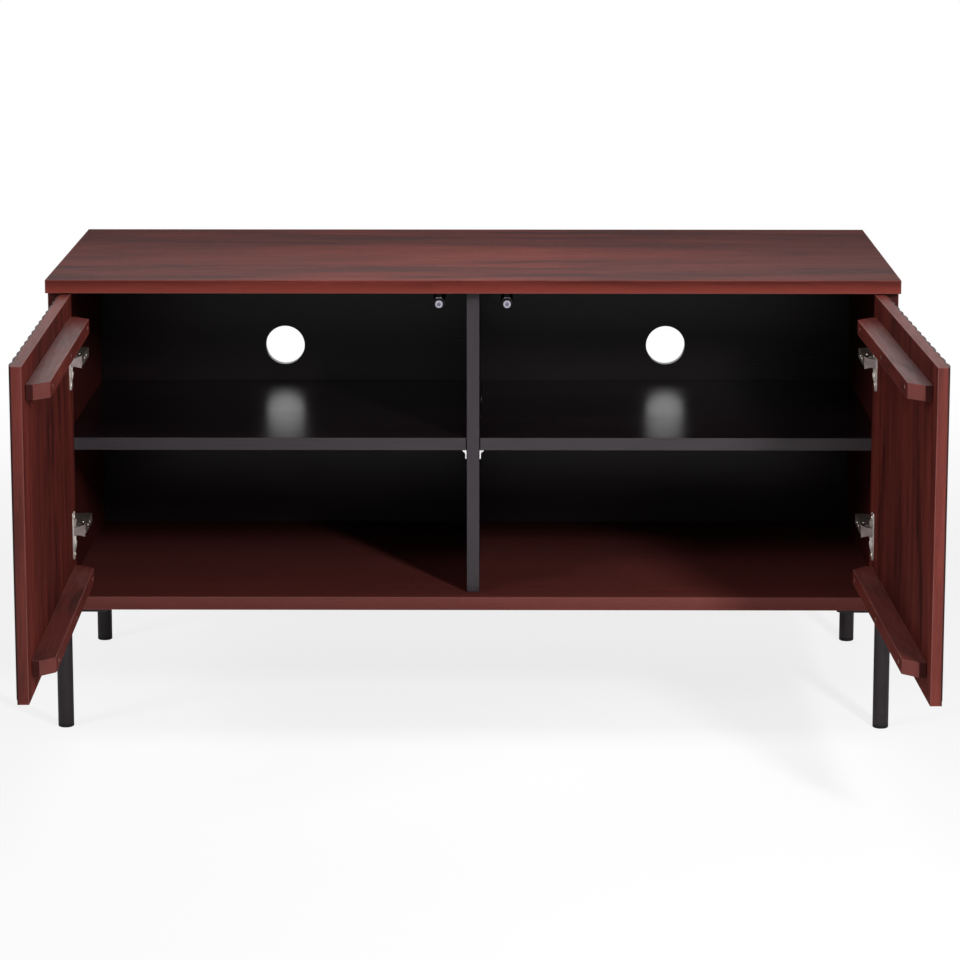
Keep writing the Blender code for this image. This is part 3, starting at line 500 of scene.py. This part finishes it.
def laminate(name, board, settings, seed):
    """Black laminate with a faint embossed grain and a paler band on its front edge."""
    paint = Paint(name, Specular_IOR_Level=0.22)
    places, facing, halves = board.on(paint)
    grain = strands(paint, places, 22.0, 900.0, seed, detail=3.0)
    cloud = strands(paint, places, 3.0, 9.0, seed, detail=3.0)
    rim = near_edges(paint, places, halves, settings.rim_width)
    pale = scaled(settings.face, 1.7, 0.001)
    face = paint.mix(paint.grade(grain * 0.2 + cloud * 0.8, 0.36, 0.66), settings.face, pale)
    face = paint.mix(rim * 0.6, face, settings.edge)
    fine = paint.grade(grain, 0.3, 0.7)
    band_tone = paint.mix(fine, scaled(settings.edge, 0.86), settings.edge)
    band_tone = paint.mix(rim * 0.5, band_tone, scaled(settings.edge, 1.35))
    front = paint.separate(paint.facing)[1]
    band = paint.grade(front, -0.9, -0.6, 1.0, 0.0)
    is_edge = 1.0 - paint.grade(abs(facing[2]), *FACING_FACE)
    paint.finish(
        Base_Color=paint.mix(band * is_edge, face, band_tone),
        Roughness=settings.roughness + (grain - 0.5) * 0.04 + (cloud - 0.5) * 0.10,
    )
    paint.relief(grain, 0.00001)
    return paint.material


def plated(name, tone, length_axis, roughness):
    """Nickel plate over steel, with the fine lines of its drawing along an axis, faint clouds and
    small pits.
    """
    paint = Paint(name, Metallic=1.0)
    stretch = [5200.0, 5200.0, 5200.0]
    stretch["XYZ".index(length_axis)] = 90.0
    lines = paint.noise(paint.place * tuple(stretch))
    cloud = paint.noise(paint.place * 130.0, detail=3.0)
    clean = paint.grade(cloud * 0.7 + lines * 0.3, 0.35, 0.65)
    paint.finish(
        Base_Color=paint.mix(clean, scaled(tone, 0.72), tone),
        Roughness=roughness + (lines - 0.5) * 0.16 + (cloud - 0.5) * 0.18,
    )
    paint.relief(lines, 0.000012)
    return paint.material


def powder_coat(name, tone):
    """Black powder coat with its fine orange peel."""
    paint = Paint(name, Specular_IOR_Level=0.25)
    peel = paint.noise(paint.place * 900.0)
    cloud = paint.noise(paint.place * 24.0, detail=3.0)
    worn = paint.grade(cloud * 0.5 + peel * 0.5, 0.36, 0.64)
    paint.finish(
        Base_Color=paint.mix(worn, tone, scaled(tone, 1.5)),
        Roughness=0.42 + (peel - 0.5) * 0.12 + (cloud - 0.5) * 0.10,
    )
    paint.relief(peel, 0.00005)
    return paint.material


def moulded(name, tone, roughness, gloss=0.5, coat=0.0, spark=1900.0, spot=None, rim=None):
    """Moulded plastic with a fine spark-eroded texture.

    Where a spot of its front is given, the plastic turns to the rim's tone about it.
    """
    gleam = {"Coat_Weight": coat, "Coat_Roughness": 0.25, "Coat_IOR": 2.0}
    paint = Paint(name, Specular_IOR_Level=gloss, **gleam)
    fine = paint.noise(paint.place * spark)
    cloud = paint.noise(paint.place * 180.0)
    clean = paint.grade(cloud * 0.6 + fine * 0.4, 0.35, 0.65)
    base = paint.mix(clean, scaled(tone, 0.8), tone)
    if spot is not None:
        x, _, z = paint.separate(paint.place - tuple(spot))
        reach = (x * x + z * z) ** 0.5
        base = paint.mix(paint.grade(reach, 0.0022, 0.0029), base, rim)
        base = paint.mix(paint.grade(reach, 0.0004, 0.0010, 0.6, 0.0), base, (0.0, 0.0, 0.0))
    paint.finish(
        Base_Color=base,
        Roughness=roughness + (fine - 0.5) * 0.14 + (cloud - 0.5) * 0.10,
    )
    paint.relief(fine, 0.00002)
    return paint.material


# ---- surfaces and small pieces


def rounded_shading(crease):
    """Node group that welds a mesh and shades it smooth up to a crease, an angle in degrees."""
    name = "rounded_shading_%d" % crease
    group = bpy.data.node_groups.get(name)
    if group:
        return group
    group = bpy.data.node_groups.new(name, "GeometryNodeTree")
    for way in ("INPUT", "OUTPUT"):
        group.interface.new_socket("Geometry", in_out=way, socket_type="NodeSocketGeometry")
    nodes = Nodes(group)
    entry = nodes.node("NodeGroupInput", {}, {})
    values = {"Geometry": entry, "Distance": WELD}
    weld = nodes.node("GeometryNodeMergeByDistance", {}, values)
    values = {"Geometry": weld, "Name": "custom_normal"}
    plain = nodes.node("GeometryNodeRemoveAttribute", {}, values)
    smooth = nodes.node("GeometryNodeSetShadeSmooth", {}, {"Geometry": plain})
    bend = nodes.node("GeometryNodeInputMeshEdgeAngle", {}, {}, output="Unsigned Angle")
    turned = bend > math.radians(crease)
    values = {"Geometry": smooth, "Selection": turned, "Shade Smooth": False}
    sharp = nodes.node("GeometryNodeSetShadeSmooth", {"domain": "EDGE"}, values)
    nodes.feed(group.nodes.new("NodeGroupOutput").inputs[0], sharp)
    return group


def shade(thing, crease, weighted=False):
    """Adds the modifiers that give a piece the normals of its real surface."""
    thing.modifiers.new("rounded_shading", "NODES").node_group = rounded_shading(crease)
    if weighted:
        thing.modifiers.new("even_faces", "WEIGHTED_NORMAL").keep_sharp = True


def dress(node, material, crease=CREASE_BOARD, weighted=False):
    """Gives a carried-over piece its finish and its shading."""
    thing = frame["nodes"][node]
    if thing.material_slots:
        for slot in thing.material_slots:
            slot.material = material
    else:
        thing.data.materials.append(material)
    shade(thing, crease, weighted)


def ring(form, radius, height, facets):
    """Corners of a level circle about the Z axis, or its single point."""
    if radius == 0.0:
        return [form.verts.new((0.0, 0.0, height))]
    turns = [2 * math.pi * i / facets for i in range(facets)]
    return [form.verts.new((radius * math.cos(t), radius * math.sin(t), height)) for t in turns]


def bridge(form, low, high):
    """Faces between two rings, either of which may be a single point."""
    facets = max(len(low), len(high))
    for i in range(facets):
        j = (i + 1) % facets
        corners = low[i % len(low)], low[j % len(low)], high[j % len(high)], high[i % len(high)]
        form.faces.new(list(dict.fromkeys(corners)))


def lathe(profile, facets):
    """Closed mesh turned about +Z from points (radius, height) that start and end on the axis."""
    form = bmesh.new()
    rings = [ring(form, radius, height, facets) for radius, height in profile]
    for low, high in zip(rings, rings[1:]):
        bridge(form, low, high)
    bmesh.ops.recalc_face_normals(form, faces=form.faces[:])
    return form


def crown(radius, shoulder, height, steps, fullness):
    """Points (radius, height) of a rounded top, from its shoulder to the axis."""
    points = []
    for i in range(steps):
        lift = math.pi / 2 * i / steps
        rise = shoulder + (height - shoulder) * math.sin(lift)
        points.append((radius * math.cos(lift) ** fullness, rise))
    return points + [(0.0, height)]


def to_mesh(form, name):
    mesh = bpy.data.meshes.new(name)
    form.to_mesh(mesh)
    form.free()
    return mesh


def driver_bar(name, diameter, height, turn):
    """Tapered bar that carves one stroke of a screw's cross recess."""
    form = bmesh.new()
    corners = bmesh.ops.create_cube(form, size=1.0)["verts"]
    for v in corners:
        deep = v.co.z < 0
        v.co.x *= diameter * (0.24 if deep else 0.54)
        v.co.y *= diameter * (0.07 if deep else 0.12)
        v.co.z = height * (0.15 if deep else 1.4)
    bmesh.ops.rotate(form, verts=corners, matrix=Matrix.Rotation(turn, 3, "Z"))
    bar = bpy.data.objects.new(name, to_mesh(form, name))
    bpy.context.scene.collection.objects.link(bar)
    return bar


def screw_head(diameter, dome, facets):
    """Pan head with a rolled rim and a cross recess, its underside at z = -SUNK."""
    radius = diameter / 2
    height = diameter * dome
    profile = [(0.0, -SUNK), (radius * 0.94, -SUNK), (radius, height * 0.12)]
    profile += crown(radius * 0.99, height * 0.34, height, steps=7, fullness=0.8)
    head = bpy.data.objects.new("screw_head", to_mesh(lathe(profile, facets), "screw_head"))
    bpy.context.scene.collection.objects.link(head)
    bars = []
    for i, turn in enumerate((0.0, math.pi / 2)):
        carve = head.modifiers.new("recess_%d" % i, "BOOLEAN")
        carve.operation = "DIFFERENCE"
        carve.solver = "EXACT"
        carve.object = driver_bar("driver_bar_%d" % i, diameter, height, turn)
        bars.append(carve.object)
    bpy.context.view_layer.update()
    carved = head.evaluated_get(bpy.context.evaluated_depsgraph_get())
    mesh = bpy.data.meshes.new_from_object(carved)
    for spent in [head] + bars:
        bpy.data.objects.remove(spent)
    return mesh


def rivet_head(diameter, facets):
    """Low peened rivet head, its underside at z = -SUNK."""
    radius = diameter / 2
    profile = [(0.0, -SUNK), (radius, -SUNK)]
    profile += crown(radius, radius * 0.16, radius * 0.5, steps=5, fullness=1.0)
    return to_mesh(lathe(profile, facets), "rivet_head")


def collar(inner, outer, height, facets, steps=10):
    """Rolled ring with its underside at z = -SUNK."""
    form = bmesh.new()
    middle = (inner + outer) / 2
    thick = (outer - inner) / 2
    rings = []
    for k in range(steps):
        t = 2 * math.pi * k / steps
        z = (height - SUNK) / 2 + (height + SUNK) / 2 * math.sin(t)
        rings.append(ring(form, middle + thick * math.cos(t), z, facets))
    for low, high in zip(rings, rings[1:] + rings[:1]):
        bridge(form, low, high)
    bmesh.ops.recalc_face_normals(form, faces=form.faces[:])
    return to_mesh(form, "collar")


def run_forward(thing, front):
    """Closed body with the outline of a piece's front face, from there forward to y = front."""
    places = [v.co for v in thing.data.vertices]
    face = min(place.y for place in places)
    outlines = [
        [(places[i].x, places[i].z) for i in polygon.vertices]
        for polygon in thing.data.polygons
        if all(places[i].y <= face + WELD for i in polygon.vertices)
    ]
    form = bmesh.new()
    fore, aft = [
        {(x, z): form.verts.new((x, y, z)) for x, z in dict.fromkeys(sum(outlines, []))}
        for y in (front, face + SUNK)
    ]
    edges = [pair for line in outlines for pair in zip(line, line[1:] + line[:1])]
    for line in outlines:
        form.faces.new([fore[spot] for spot in line])
        form.faces.new([aft[spot] for spot in reversed(line)])
    for a, b in edges:
        if (b, a) not in edges:
            form.faces.new((fore[b], fore[a], aft[a], aft[b]))
    return to_mesh(form, "lip")


def rounded_bar(long, wide, height):
    """Low bar along X with rounded corners, its underside at z = -SUNK."""
    form = bmesh.new()
    for corner in bmesh.ops.create_cube(form, size=1.0)["verts"]:
        z = height if corner.co.z > 0 else -SUNK
        corner.co = (corner.co.x * long, corner.co.y * wide, z)
    bmesh.ops.bevel(form, geom=form.edges[:], offset=height * 0.35, segments=2, affect="EDGES")
    return to_mesh(form, "rounded_bar")


def pose_on(point, outward, turn=0.0):
    """Matrix that stands a small piece on a point, with its +Z along outward.

    Each screw takes a turn of its own, so that the cross recesses don't line up.
    """
    stand = Vector(outward).normalized().to_track_quat("Z", "Y").to_matrix().to_4x4()
    return Matrix.Translation(point) @ stand @ Matrix.Rotation(turn, 4, "Z")


def set_out(name, master, poses, material, body):
    """Joins copies of a master mesh at the poses into one piece that rides on a body."""
    form = bmesh.new()
    for pose in poses:
        copy = master.copy()
        copy.transform(pose)
        form.from_mesh(copy)
        bpy.data.meshes.remove(copy)
    piece = bpy.data.objects.new(name, to_mesh(form, name))
    piece.data.materials.append(material)
    bpy.context.scene.collection.objects.link(piece)
    shade(piece, CREASE_SMALL)
    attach(piece, body)


# ---- operators


class CABINET_OT_stained_boards(bpy.types.Operator):
    """Veneer the top, the bottom and the two side panels."""

    bl_idname = "cabinet.stained_boards"
    bl_label = "Stained boards"

    def execute(self, context):
        wood = context.scene.cabinet_wood
        top = Finish(
            seed=3.1,
            contrast=1.1,
            # Painted shade, darker towards the back of the top.
            washes=((wood.dark, 0.06), (wood.dark, 0.16)),
            # Painted light on the front edge, lighter towards its underside.
            edging=(wood.nosing, 0.95, 0.15),
            film=(0.22, 0.0, 0.0),
        )
        bottom = Finish(
            seed=11.7,
            contrast=0.4,
            # Painted light at the front of the bottom's upper face, painted shade towards its back.
            washes=((wood.edge, 0.20), (wood.dark, 0.92)),
            # Painted light: the front edge is lighter towards its top.
            edging=(wood.edge, 0.25, 0.50),
        )
        left = Finish(
            seed=23.9,
            contrast=0.8,
            # Painted shade over the side panel's inner face.
            washes=((wood.dark, 0.70), (wood.dark, 0.70)),
            edging=(wood.edge, 0.15, 0.15),
        )
        plans = {
            "top_panel": ("X", "Z", top),
            "bottom_panel": ("X", "Z", bottom),
            "side_panel_left": ("Z", "X", left),
            "side_panel_right": ("Z", "X", left._replace(seed=37.3, washed=-1)),
        }
        for node, (grain, face, finish) in plans.items():
            board = Board(node, grain, face)
            dress(node, veneer("veneer_" + node, board, wood, finish), weighted=True)
        return {"FINISHED"}


class CABINET_OT_dark_boards(bpy.types.Operator):
    """Lay the black laminate on the back, the divider and the shelves."""

    bl_idname = "cabinet.dark_boards"
    bl_label = "Dark boards"

    def execute(self, context):
        settings = context.scene.cabinet_board
        plans = {
            "back_panel": ("X", "Y", 5.3),
            "centre_divider": ("Z", "X", 17.1),
            "shelf_left": ("X", "Z", 29.7),
            "shelf_right": ("X", "Z", 41.9),
        }
        for node, (grain, face, seed) in plans.items():
            board = Board(node, grain, face)
            dress(node, laminate("laminate_" + node, board, settings, seed), weighted=True)
        return {"FINISHED"}


class CABINET_OT_doors(bpy.types.Operator):
    """Veneer the reeded doors and stain their battens."""

    bl_idname = "cabinet.doors"
    bl_label = "Doors"

    def execute(self, context):
        wood = context.scene.cabinet_wood
        reeded = Finish(
            seed=53.1,
            contrast=1.15,
            washes=((wood.dark, 0.0), (wood.dark, 0.0)),
            edging=(wood.pale, 0.30, 0.30),
            film=(0.0, 0.0, 0.7),
        )
        for i, (side, free_side) in enumerate(zip(SIDES, (-1, 1))):
            turn = DOOR_TURNS[side]
            board = Board("door_" + side, "Z", "Y", turn)
            # A reeded finish also paints shade into the grooves and along the ribs at the doors'
            # ends.
            finish = reeded._replace(seed=reeded.seed + 13.7 * i, reeded=free_side)
            dress("door_" + side, veneer("veneer_door_" + side, board, wood, finish), CREASE_DOOR)
            for k, level in enumerate(LEVELS):
                node = "door_batten_%s_%s" % (side, level)
                batten = Board(node, "X", "Y", turn)
                seed = 71.3 + 9.1 * i + 4.3 * k
                dress(node, solid_wood("wood_" + node, batten, wood, seed), weighted=True)
        return {"FINISHED"}


class CABINET_OT_hinges(bpy.types.Operator):
    """Plate the hinge cups, links, arms and wing plates."""

    bl_idname = "cabinet.hinges"
    bl_label = "Hinges"

    def execute(self, context):
        metal = context.scene.cabinet_metal
        materials = {
            # The cups take the lighter copy of the nickel, a painted highlight, and the links the
            # darker copy, painted shade.
            "cup": plated("nickel_cup", metal.bright, "Z", 0.55),
            "link": plated("nickel_link", metal.drawn, "Y", 0.42),
            "plate": plated("nickel_pressed", metal.nickel, "Z", 0.50),
            "arm": plated("nickel_arm", metal.nickel, "Y", 0.42),
        }
        for side in SIDES:
            for level in LEVELS:
                for form, material in materials.items():
                    dress("hinge_%s_%s_%s" % (form, side, level), material, CREASE_HINGE)
        return {"FINISHED"}


class CABINET_OT_latches(bpy.types.Operator):
    """Finish the push latches, with a collar at each mouth and a pale strip above it."""

    bl_idname = "cabinet.latches"
    bl_label = "Push latches"

    strip_rise: length("Strip rise", "Pale strip above the middle of the mouth", 0.0062)

    def execute(self, context):
        metal = context.scene.cabinet_metal
        black = moulded("black_moulding", metal.black, 0.5, gloss=0.2)
        pale = moulded("pale_strip", scaled(metal.rim, 1.7), 0.4)
        forward = (0, -1, 0)
        for side in SIDES:
            low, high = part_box("latch_plunger_" + side)
            mouth = (low + high) / 2
            mouth.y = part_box("latch_housing_" + side)[0].y
            look = {"spark": 2600.0, "spot": mouth, "rim": metal.rim}
            grey = moulded("grey_tip_" + side, metal.tip, 0.32, **look)
            dress("latch_housing_" + side, black)
            dress("latch_plunger_" + side, grey)
            at = pose_on(mouth, forward)
            rim = collar(*COLLAR)
            set_out("latch_collar_" + side, rim, [at], black, "carcass")
            over = pose_on(mouth + Vector((0, 0, self.strip_rise)), forward)
            bar = rounded_bar(*STRIP)
            set_out("latch_strip_" + side, bar, [over], pale, "carcass")
        return {"FINISHED"}


class CABINET_OT_legs(bpy.types.Operator):
    """Powder coat the legs and their plates, and finish the glides."""

    bl_idname = "cabinet.legs"
    bl_label = "Legs"

    def execute(self, context):
        metal = context.scene.cabinet_metal
        coat = powder_coat("powder_coat", metal.coat)
        black = moulded("black_glide", metal.black, 0.5, gloss=0.3)
        for place in LEG_PLACES:
            dress("leg_" + place, coat)
            dress("leg_plate_" + place, coat)
            dress("leg_glide_" + place, black)
        return {"FINISHED"}


class CABINET_OT_supports(bpy.types.Operator):
    """Finish the white shelf supports and run the front ones forward to their shelf's edge."""

    bl_idname = "cabinet.supports"
    bl_label = "Shelf supports"

    set_back: length("Set back", "Lip of a front support from the front edge of its shelf", 0.0008)

    def execute(self, context):
        white = moulded("white_moulding", context.scene.cabinet_metal.white, 0.38, coat=1.0)
        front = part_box("shelf_left")[0].y + self.set_back
        for node in sorted(frame["nodes"]):
            if not node.startswith("shelf_support_"):
                continue
            dress(node, white)
            if node.endswith("_front"):
                lip = run_forward(frame["nodes"][node], front)
                name = node.replace("shelf_support", "support_lip")
                set_out(name, lip, [Matrix()], white, "carcass")
        return {"FINISHED"}


class CABINET_OT_batten_screws(bpy.types.Operator):
    """Drive three screws through each batten into the door."""

    bl_idname = "cabinet.batten_screws"
    bl_label = "Batten screws"

    end_space: length("End space", "First and last screw from the ends of the batten", 0.0365)

    def execute(self, context):
        fasteners = context.scene.cabinet_fasteners
        steel = plated("bronzed_screws", context.scene.cabinet_metal.bronze, "Z", 0.40)
        dome = fasteners.dome * fasteners.batten_dome
        head = screw_head(fasteners.batten_screw, dome, fasteners.facets)
        for side in SIDES:
            turn = DOOR_TURNS[side]
            back = Matrix.Rotation(turn, 3, "Z")
            outward = back @ Vector((0, 1, 0))
            poses = []
            for level in LEVELS:
                low, high = upright_box("door_batten_%s_%s" % (side, level), turn)
                middle = (low + high) / 2
                spots = (low.x + self.end_space, middle.x, high.x - self.end_space)
                for k, x in enumerate(spots):
                    point = back @ Vector((x, high.y, middle.z))
                    poses.append(pose_on(point, outward, 0.5 + 0.9 * k + low.z * 7))
            set_out("batten_screws_" + side, head, poses, steel, side + "_door")
        return {"FINISHED"}


class CABINET_OT_hinge_screws(bpy.types.Operator):
    """Drive the screws of the cups, wing plates and arms, and set the rivets at the arm pins."""

    bl_idname = "cabinet.hinge_screws"
    bl_label = "Hinge screws"

    cup_reach: length("Cup reach", "Cup screws above and below the cup's middle", 0.0225)
    cup_inset: length("Cup inset", "Cup screws from the flange's straight edge", 0.0085)
    wing_reach: length("Wing reach", "Wing screws above and below the plate's middle", 0.0160)
    wing_back: length("Wing back", "Wing screws behind the plate's middle", 0.0040)
    wing_thick: length("Wing thickness", "Thickness of the wing plate", 0.0015)
    arm_near: length("Near arm screw", "First set screw from the front end of its arm", 0.0200)
    arm_far: length("Far arm screw", "Second set screw from the front end of its arm", 0.0365)

    def execute(self, context):
        fasteners = context.scene.cabinet_fasteners
        facets = fasteners.facets
        steel = plated("nickel_screws", context.scene.cabinet_metal.nickel, "Z", 0.24)
        head = screw_head(fasteners.hinge_screw, fasteners.dome * fasteners.hinge_dome, facets)
        small = screw_head(fasteners.arm_screw, fasteners.dome * fasteners.arm_dome, facets)
        rivet = rivet_head(fasteners.rivet, facets)
        for side, way in zip(SIDES, (1.0, -1.0)):
            turn = DOOR_TURNS[side]
            back = Matrix.Rotation(turn, 3, "Z")
            pin_name = side + "_link_swing"
            pin = next(joint for joint in frame["joints"] if joint["name"] == pin_name)["pos_m"]
            outward = back @ Vector((0, 1, 0))
            on_door, on_carcass, on_arms, rivets = [], [], [], []
            for k, level in enumerate(LEVELS):
                low, high = upright_box("hinge_cup_%s_%s" % (side, level), turn)
                x = high.x - self.cup_inset if side == "left" else low.x + self.cup_inset
                for j in (-1, 1):
                    point = Vector((x, high.y, (low.z + high.z) / 2 + j * self.cup_reach))
                    on_door.append(pose_on(back @ point, outward, 0.3 + 0.6 * j + k))
                low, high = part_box("hinge_plate_%s_%s" % (side, level))
                middle = (low + high) / 2
                x = (low.x if side == "left" else high.x) + way * self.wing_thick
                for j in (-1, 1):
                    point = (x, middle.y + self.wing_back, middle.z + j * self.wing_reach)
                    on_carcass.append(pose_on(point, (way, 0, 0), 0.7 + 0.5 * j + k))
                low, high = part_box("hinge_arm_%s_%s" % (side, level))
                x = high.x if side == "left" else low.x
                for j, along in enumerate((self.arm_near, self.arm_far)):
                    point = (x, low.y + along, (low.z + high.z) / 2)
                    on_arms.append(pose_on(point, (way, 0, 0), 0.2 + 0.8 * j + k))
                for z, up in ((low.z, -1), (high.z, 1)):
                    rivets.append(pose_on((pin[0], pin[1], z), (0, 0, up)))
            set_out("cup_screws_" + side, head, on_door, steel, side + "_door")
            set_out("wing_screws_" + side, head, on_carcass, steel, "carcass")
            set_out("arm_screws_" + side, small, on_arms, steel, "carcass")
            set_out("arm_rivets_" + side, rivet, rivets, steel, "carcass")
        return {"FINISHED"}


class CABINET_OT_leg_screws(bpy.types.Operator):
    """Drive the screws of the leg plates from below."""

    bl_idname = "cabinet.leg_screws"
    bl_label = "Leg plate screws"

    from_edge: length("From edge", "Screw from the edges of its plate", 0.0100)
    from_leg: length("From leg", "Least distance of a screw from the leg's axis", 0.0200)

    def execute(self, context):
        fasteners = context.scene.cabinet_fasteners
        head = screw_head(fasteners.leg_screw, fasteners.dome, fasteners.facets)
        black = powder_coat("black_screws", context.scene.cabinet_metal.coat)
        poses = []
        for place in LEG_PLACES:
            low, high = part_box("leg_plate_" + place)
            leg_low, leg_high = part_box("leg_" + place)
            leg = (leg_low + leg_high) / 2
            for x in (low.x + self.from_edge, high.x - self.from_edge):
                for y in (low.y + self.from_edge, high.y - self.from_edge):
                    if math.hypot(x - leg.x, y - leg.y) > self.from_leg:
                        poses.append(pose_on((x, y, low.z), (0, 0, -1), x * 9 + y * 5))
        set_out("leg_plate_screws", head, poses, black, "carcass")
        return {"FINISHED"}


class CABINET_OT_studio(bpy.types.Operator):
    """Set up the pale floor, the soft lamps, the surroundings and the camera."""

    bl_idname = "cabinet.studio"
    bl_label = "Studio"

    floor_radius: length("Floor radius", "Radius of the floor", 12.0)
    fade_start: length("Fade start", "Where the floor starts to fade to white", 0.9)
    fade_end: length("Fade end", "Where the floor is white", 2.6)
    steady: share("Steady", "Share of the near floor's white that takes no shadow", 0.80)

    def execute(self, context):
        studio = context.scene.cabinet_studio
        self.lay_floor(context, studio)
        self.light_surroundings(context, studio)
        self.hang_lamps(context, studio)
        self.place_camera(context, studio)
        context.scene.view_settings.view_transform = "Standard"
        return {"FINISHED"}

    def lay_floor(self, context, studio):
        form = bmesh.new()
        bmesh.ops.create_circle(form, cap_ends=True, segments=96, radius=self.floor_radius)
        floor = bpy.data.objects.new("floor", to_mesh(form, "floor"))
        context.scene.collection.objects.link(floor)
        paint = Paint("floor", Roughness=0.9, Specular_IOR_Level=0.0)
        paint.finish(Base_Color=(studio.floor,) * 3)
        x, y, _ = paint.separate(paint.place)
        white = paint.grade((x * x + y * y) ** 0.5, self.fade_start, self.fade_end)
        taking = 1.0 - self.steady
        glow = {"Color": (1.0, 1.0, 1.0), "Strength": white * taking + self.steady}
        shown = paint.node("ShaderNodeEmission", {}, glow)
        tone = paint.mix(white, (taking,) * 3, (0.0,) * 3)
        shadowed = paint.node("ShaderNodeBsdfDiffuse", {}, {"Color": tone})
        seen = paint.node("ShaderNodeAddShader", {}, {0: shown, 1: shadowed})
        ways = {0: paint.ray("Camera"), 1: Wire(paint, paint.shader.outputs[0]), 2: seen}
        chosen = paint.node("ShaderNodeMixShader", {}, ways)
        paint.feed(paint.tree.nodes["Material Output"].inputs["Surface"], chosen)
        floor.data.materials.append(paint.material)

    def light_surroundings(self, context, studio):
        world = bpy.data.worlds.new("surroundings")
        world.use_nodes = True
        context.scene.world = world
        sky = Nodes(world.node_tree)
        mirrored = sky.larger(sky.ray("Glossy"), sky.ray("Transmission"))
        shows = sky.larger(sky.ray("Camera"), mirrored)
        height = sky.separate(sky.node("ShaderNodeTexCoord", {}, {}, output="Generated"))[2]
        ends = {"To Min": studio.ambient, "To Max": studio.ambient * studio.overhead}
        fall = sky.node("ShaderNodeMapRange", {}, {"Value": height, **ends})
        values = {"Value": shows, "To Min": fall, "To Max": 1.0}
        level = sky.node("ShaderNodeMapRange", {}, values)
        background = world.node_tree.nodes["Background"]
        sky.feed(background.inputs["Color"], (1.0, 1.0, 1.0))
        sky.feed(background.inputs["Strength"], level)

    def hang_lamps(self, context, studio):
        aim = Vector((0.0, 0.10, 0.34))
        lamps = {
            "lamp_left": ((-3.00, -2.60, 2.30), 1.30, 1.30, studio.fill_power),
            "lamp_right": ((1.02, -1.90, 1.29), 0.18, 0.42, studio.key_power),
            "lamp_rear": ((0.0, 2.60, 2.10), 2.4, 1.4, studio.rear_power),
            "lamp_top": ((0.0, 0.06, 1.20), 0.80, 0.12, studio.top_power),
        }
        for name, (place, wide, high, energy) in lamps.items():
            light = bpy.data.lights.new(name, "AREA")
            light.shape = "RECTANGLE"
            light.size, light.size_y = wide, high
            light.energy = energy
            lamp = bpy.data.objects.new(name, light)
            lamp.location = place
            lamp.rotation_euler = (aim - Vector(place)).to_track_quat("-Z", "Y").to_euler()
            if name == "lamp_top":
                light.spread = studio.spread
                lamp.rotation_euler = (0.0, 0.0, 0.0)
            context.scene.collection.objects.link(lamp)

    def place_camera(self, context, studio):
        low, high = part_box("top_panel")
        camera = bpy.data.cameras.new("camera")
        camera.sensor_width = 36.0
        camera.lens = studio.lens
        camera.shift_y = studio.shift
        camera.clip_end = 50.0
        stand = bpy.data.objects.new("camera", camera)
        stand.location = (studio.aside, low.y - studio.distance, high.z + studio.rise)
        stand.rotation_euler = (math.pi / 2 - studio.tilt, 0.0, studio.pan)
        context.scene.collection.objects.link(stand)
        context.scene.camera = stand


class CABINET_PT_finish(bpy.types.Panel):
    """Lists the steps that finish the cabinet."""

    bl_idname = "CABINET_PT_finish"
    bl_label = "Cabinet finish"
    bl_space_type = "VIEW_3D"
    bl_region_type = "UI"
    bl_category = "Cabinet"

    def draw(self, context):
        for step in STEPS:
            self.layout.operator(step.bl_idname)


SETTINGS = {
    "cabinet_wood": WoodSettings,
    "cabinet_board": BoardSettings,
    "cabinet_metal": MetalSettings,
    "cabinet_fasteners": FastenerSettings,
    "cabinet_studio": StudioSettings,
}
STEPS = (
    CABINET_OT_stained_boards,
    CABINET_OT_dark_boards,
    CABINET_OT_doors,
    CABINET_OT_hinges,
    CABINET_OT_latches,
    CABINET_OT_legs,
    CABINET_OT_supports,
    CABINET_OT_batten_screws,
    CABINET_OT_hinge_screws,
    CABINET_OT_leg_screws,
    CABINET_OT_studio,
)
CLASSES = (*SETTINGS.values(), *STEPS, CABINET_PT_finish)


def register():
    for kind in CLASSES:
        bpy.utils.register_class(kind)
    for name, group in SETTINGS.items():
        setattr(bpy.types.Scene, name, PointerProperty(type=group))


def unregister():
    for name in SETTINGS:
        delattr(bpy.types.Scene, name)
    for kind in reversed(CLASSES):
        bpy.utils.unregister_class(kind)


def main():
    register()
    bpy.ops.cabinet.stained_boards()
    bpy.ops.cabinet.dark_boards()
    bpy.ops.cabinet.doors()
    bpy.ops.cabinet.hinges()
    bpy.ops.cabinet.latches()
    bpy.ops.cabinet.legs()
    bpy.ops.cabinet.supports()
    bpy.ops.cabinet.batten_screws()
    bpy.ops.cabinet.hinge_screws()
    bpy.ops.cabinet.leg_screws()
    bpy.ops.cabinet.studio()


if __name__ == "__main__":
    main()
